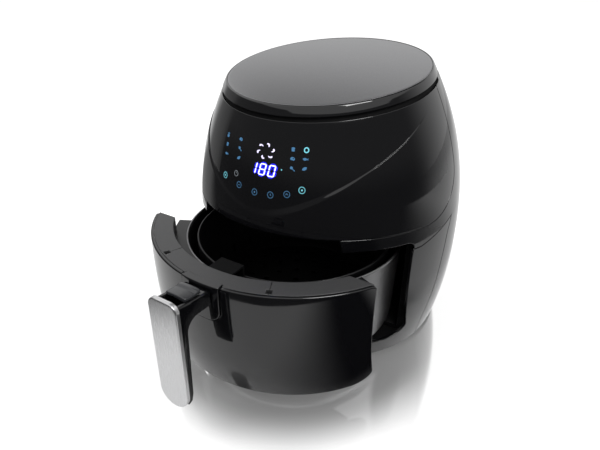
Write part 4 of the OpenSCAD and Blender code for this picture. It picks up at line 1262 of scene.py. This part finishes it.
picture_films += film([bar(-1.1, 0, 1.1, 0, 0.5)], *touches[0])
picture_films += film([disc(0, 0, 0.8)], *touches[1])
picture_films += film([bar(0, -0.3, 0, 1.3, 0.5), bar(0, 0, 1.0, -0.6, 0.5)], *touches[2])
picture_films += film([bar(-1.2, -0.6, 0, 0.8, 0.5), bar(0, 0.8, 1.2, -0.6, 0.5)], *touches[3])
build("panel_pictures", picture_films, "housing", picture_blue, "display_white")

bright_films = film([ring(0, 0, 3.1, 2.6), disc(0, 0, 0.8)], -17.62, 195.8)
bright_films += film([ring(0, 0, 3.1, 2.6), disc(0, 0, 0.8)], 18.0, 199.3)
bright_films += film([ring(0, 0, 2.2, 1.3)], 18.71, 232.9, size=1.1)
bright_films += film([disc(0, 0, 0.6)], 9.58, 214.5)
build("touch_marks", bright_films, "housing", touch_cyan, "display_white")
build("timer_mark", film([ring(0, 0, 2.7, 2.3), bar(0, 0, 0, 1.4, 0.4)], -11.13, 201.7),
      "housing", pale_grey, "display_white")

# %% [markdown]
# The rest of the solids keep their imported shape: they are hidden inside, or flat enough that
# their facets don't show. Each still gets the surface it would really have, except the mouth
# frame, the lid collar and the basket bracket: they take a darker, less reflective black as
# painted shade in the gaps round them.

# %% Surfaces for the solids that stay
kept = {
    gap_shade_black: ["mouth_frame", "lid_collar", "basket_bracket"],
    black_abs: ["base_plate", "outlet_grille", "outlet_duct",
                "drawer_rails", "drawer_switch", "panel_frame", "motor_deck", "deck_posts",
                "cord_gland"],
    foot_rubber: ["foot_ring", "motor_bushes"],
    stainless: ["base_screws", "element_clips", "element_guard", "temperature_probe",
                "rotor_shaft", "hot_air_fan", "fan_nut", "pan_screws", "handle_screws"],
    aluminised: ["inner_liner", "heat_shield"],
    heater_tube: ["heating_element"],
    switch_nylon: ["thermal_cutout", "cooling_fan"],
    core_iron: ["motor"],
    solder_mask: ["power_board", "touch_board"],
    clear_white: ["display_module"],
}
for material, names in kept.items():
    for name in names:
        mesh = nodes[name].data
        mesh.materials.clear()
        mesh.materials.append(material)
        mesh.shade_smooth()
        mesh.set_sharp_from_angle(angle=math.radians(35))
print("kept solids:", sum(len(names) for names in kept.values()))

# %% [markdown]
# The stage is a white table under a white room. Near the object the table top is polished and
# carries a mirror image of it; further out the polish fades to plain matt white. The fade is a
# rule on the table's own X and Y: how far a spot lies from the footprints of the body and of
# the drawer.

# %% The white table
floor_mesh = bpy.data.meshes.new("white_table")
floor_mesh.from_pydata([(-9, -9, 0), (9, -9, 0), (9, 9, 0), (-9, 9, 0)], [], [(0, 1, 2, 3)])
table = bpy.data.objects.new("white_table", floor_mesh)
bpy.context.scene.collection.objects.link(table)
table_white, shader, place = surface("white_table_top", "f4f4f4", 0.6)
polishes = []
for centre_y, start, end in ((0.0, 0.165, 0.262), (-0.076, 0.140, 0.200)):
    apart = add(table_white, "ShaderNodeVectorMath", {0: place, 1: (0, centre_y, 0)},
                operation="DISTANCE")
    polishes.append(add(table_white, "ShaderNodeMapRange", {
        "Value": apart.outputs["Value"], "From Min": start, "From Max": end,
        "To Min": 0.74, "To Max": 0.0}, interpolation_type="SMOOTHSTEP").outputs["Result"])
polish = add(table_white, "ShaderNodeMath", {0: polishes[0], 1: polishes[1]}, operation="MAXIMUM")
mirror = add(table_white, "ShaderNodeBsdfAnisotropic", {
    "Color": linear("ffffff"), "Roughness": 0.07})
seen_straight = add(table_white, "ShaderNodeLightPath").outputs["Is Camera Ray"]
bright = add(table_white, "ShaderNodeMath", {0: seen_straight, 1: 0.35}, operation="MULTIPLY")
lift = add(table_white, "ShaderNodeEmission", {"Color": linear("ffffff"),
                                               "Strength": bright.outputs[0]})
matt = add(table_white, "ShaderNodeBsdfDiffuse", {"Color": linear("fafafa")})
lifted = add(table_white, "ShaderNodeAddShader", {0: matt.outputs[0], 1: lift.outputs[0]})
mixed = add(table_white, "ShaderNodeMixShader", {
    "Fac": polish.outputs[0], 1: lifted.outputs[0], 2: mirror.outputs[0]})
table_out = table_white.node_tree.nodes["Material Output"]
table_white.node_tree.links.new(mixed.outputs[0], table_out.inputs["Surface"])
floor_mesh.materials.append(table_white)
print("table is polished for 90 mm round the body")

# %% [markdown]
# The room is plain white to the eye, in reflections and through glass. The light that reaches
# matt surfaces is set apart, at a plain level, so that colours come out as written.

# %% The white room
world = bpy.data.worlds.new("white_room")
bpy.context.scene.world = world
world.use_nodes = True
sky = world.node_tree.nodes["Background"]
sky.inputs["Color"].default_value = linear("ffffff")
sky.inputs["Strength"].default_value = 0.75
seen = add(world, "ShaderNodeBackground", {"Color": linear("ffffff"), "Strength": 1.0})
ray = add(world, "ShaderNodeLightPath")
either = add(world, "ShaderNodeMath", {
    0: ray.outputs["Is Camera Ray"], 1: ray.outputs["Is Glossy Ray"]}, operation="MAXIMUM")
any_of = add(world, "ShaderNodeMath", {
    0: either.outputs[0], 1: ray.outputs["Is Transmission Ray"]}, operation="MAXIMUM")
choose = add(world, "ShaderNodeMixShader", {
    "Fac": any_of.outputs[0], 1: sky.outputs[0], 2: seen.outputs[0]})
world.node_tree.links.new(choose.outputs[0],
                          world.node_tree.nodes["World Output"].inputs["Surface"])
print("room ready")

# %% [markdown]
# A black gloss object is lit by what it mirrors. In an all-white room it would go grey, so the
# studio hangs a grey screen round the front, lays grey and black cards on the table out of
# sight, and lets the white room show only past their ends: that draws the pale edges of the
# body. A small bright strip, high on the right, draws the light line in the smile's crease. The
# cards are seen by reflections alone.

# %% Lights, screen and cards
def aimed(obj, position, target):
    """Puts an object somewhere and turns its -Z to a target, both in metres."""
    obj.location = position
    obj.rotation_mode = "QUATERNION"
    way = Vector(target) - Vector(position)
    obj.rotation_quaternion = way.to_track_quat("-Z", "Y")


def softbox(name, position, target, width, height, watts):
    """A rectangular studio lamp. Shiny pieces mirror the room and the cards instead of it."""
    lamp = bpy.data.lights.new(name, "AREA")
    lamp.shape = "RECTANGLE"
    lamp.size = width
    lamp.size_y = height
    lamp.energy = watts
    obj = bpy.data.objects.new(name, lamp)
    bpy.context.scene.collection.objects.link(obj)
    aimed(obj, position, target)
    obj.visible_glossy = False
    return obj


def card_object(name, points, faces, material):
    """A card that only reflections see."""
    mesh = bpy.data.meshes.new(name)
    mesh.from_pydata(points, [], faces)
    mesh.materials.append(material)
    obj = bpy.data.objects.new(name, mesh)
    bpy.context.scene.collection.objects.link(obj)
    obj.visible_camera = False
    obj.visible_diffuse = False
    obj.visible_shadow = False
    obj.visible_transmission = False
    return obj


def card_surface(name, colour, fades, strength=1.0):
    """A tone that fades out along the card's own axes, and is clear from behind. One brighter
    than white is mirrored only straight off the object, not again by way of the table."""
    material = bpy.data.materials.new(name)
    material.use_nodes = True
    material.node_tree.nodes.clear()
    place = add(material, "ShaderNodeTexCoord").outputs["Object"]
    parts = add(material, "ShaderNodeSeparateXYZ", {"Vector": place})
    behind = add(material, "ShaderNodeNewGeometry").outputs["Backfacing"]
    solid = add(material, "ShaderNodeMath", {0: 1.0, 1: behind}, operation="SUBTRACT").outputs[0]
    for axis, clear_at, full_at in fades:
        ramp = add(material, "ShaderNodeMapRange", {
            "Value": parts.outputs[axis], "From Min": clear_at, "From Max": full_at},
            interpolation_type="SMOOTHSTEP")
        solid = add(material, "ShaderNodeMath", {0: solid, 1: ramp.outputs["Result"]},
                    operation="MULTIPLY").outputs[0]
    if strength > 1:
        bounces = add(material, "ShaderNodeLightPath").outputs["Ray Depth"]
        direct = add(material, "ShaderNodeMath", {0: bounces, 1: 1.5}, operation="LESS_THAN")
        solid = add(material, "ShaderNodeMath", {0: solid, 1: direct.outputs[0]},
                    operation="MULTIPLY").outputs[0]
    glow = add(material, "ShaderNodeEmission", {"Color": linear(colour), "Strength": strength})
    clear = add(material, "ShaderNodeBsdfTransparent")
    mixed = add(material, "ShaderNodeMixShader", {"Fac": solid, 1: clear.outputs[0],
                                                  2: glow.outputs[0]})
    out = add(material, "ShaderNodeOutputMaterial")
    material.node_tree.links.new(mixed.outputs[0], out.inputs["Surface"])
    return material


def bent_card(name, inner, outer, sweep, colour, fades):
    """A card bent round the object. Its two edges are (radius, height); the sweep is in degrees
    from the front, positive to the right. Equal radii make a screen, equal heights a ring."""
    count = 48
    points, faces = [], []
    for k in range(count + 1):
        a = math.radians(sweep[0] + (sweep[1] - sweep[0]) * k / count)
        points += [(radius * math.sin(a), -radius * math.cos(a), height)
                   for radius, height in (inner, outer)]
    for k in range(count):
        faces.append((2 * k, 2 * k + 1, 2 * k + 3, 2 * k + 2))
    return card_object(name, points, faces, card_surface(name + "_cloth", colour, fades))


def flat_card(name, corners, cloth):
    """A card with four corners."""
    return card_object(name, corners, [(0, 1, 2, 3)], cloth)


softbox("key_softbox", (-0.9, -1.1, 1.6), (0, 0, 0.15), 0.9, 0.9, 10)
softbox("fill_softbox", (1.3, -0.7, 0.9), (0, 0, 0.15), 0.8, 1.2, 5)
softbox("back_softbox", (0.2, 1.5, 1.4), (0, 0, 0.2), 1.6, 0.8, 8)
SCREEN_TOP = 1.05
bent_card("front_screen", (1.3, 0.0), (1.3, SCREEN_TOP), (-100, 150), "727272",
          [("Y", 1.05, 0.15)])
bent_card("low_screen", (1.28, 0.0), (1.28, 0.5), (-76, 140), "484848",
          [("Z", 0.5, 0.15), ("Y", 0.7, 0.0)])
bent_card("left_screen", (1.29, 0.0), (1.29, SCREEN_TOP), (-115, -70), "9c9c9c",
          [("Y", -0.38, -0.12), ("Y", 0.55, 0.22)])
bent_card("front_card", (0.42, 0.0010), (1.28, 0.0010), (-100, 150), "484848",
          [("Y", 0.45, -0.1)])
bent_card("left_card", (0.42, 0.0014), (1.28, 0.0014), (-112, -70), "9c9c9c",
          [("Y", -0.22, -0.04), ("Y", 0.5, 0.2)])

dark_cloth = card_surface("black_card_cloth", "010101", [
    ("X", -0.19, -0.04), ("X", 0.13, 0.04), ("Y", -0.15, -0.21)])
black_card = flat_card("black_card", [(x, y, 0.002) for x, y in (
    (-0.2, -0.6), (0.4, -0.6), (0.4, -0.1), (-0.2, -0.1))], dark_cloth)
black_card.rotation_euler = (0, 0, math.atan2(0.8, 0.6))
lid_cloth = card_surface("lid_card_cloth", "262626", [("Z", 0.46, 0.64)])
flat_card("lid_card", [(x, 0.32, z) for x, z in (
    (-0.5, 0.4), (0.3, 0.4), (0.3, 1.2), (-0.5, 1.2))], lid_cloth)
strip_cloth = card_surface("strip_card_cloth", "ffffff", [], 16.0)
strip_card = flat_card("strip_card", [(x, y, 0) for x, y in (
    (-0.24, -0.19), (-0.24, 0.19), (0.24, 0.19), (0.24, -0.19))], strip_cloth)
aimed(strip_card, (0.6, -0.38, 1.24), (0.09, -0.11, 0.21))
print("lamps:", len(bpy.data.lights))

# %% [markdown]
# The camera stands in front and to the right, a little above, and near enough for the drawer to
# look larger than the body behind it.

# %% The camera
AZIMUTH = math.radians(31.833)
ELEVATION = math.radians(28.443)
FOCAL_PIXELS = 459.0
IMAGE_WIDTH = 600
back_way = Vector((math.sin(AZIMUTH) * math.cos(ELEVATION),
                   -math.cos(AZIMUTH) * math.cos(ELEVATION), math.sin(ELEVATION)))
right_way = Vector((math.cos(AZIMUTH), math.sin(AZIMUTH), 0))
up_way = back_way.cross(right_way)
lens = bpy.data.cameras.new("camera")
lens.sensor_width = 36
lens.lens = FOCAL_PIXELS * lens.sensor_width / IMAGE_WIDTH
camera = bpy.data.objects.new("camera", lens)
bpy.context.scene.collection.objects.link(camera)
camera.matrix_world = Matrix.Translation((0.23698, -0.44716, 0.36490)) @ Matrix(
    (right_way, up_way, back_way)).transposed().to_4x4()
bpy.context.scene.camera = camera
bpy.context.scene.view_settings.view_transform = "Standard"
print("lens:", round(lens.lens, 2), "mm")
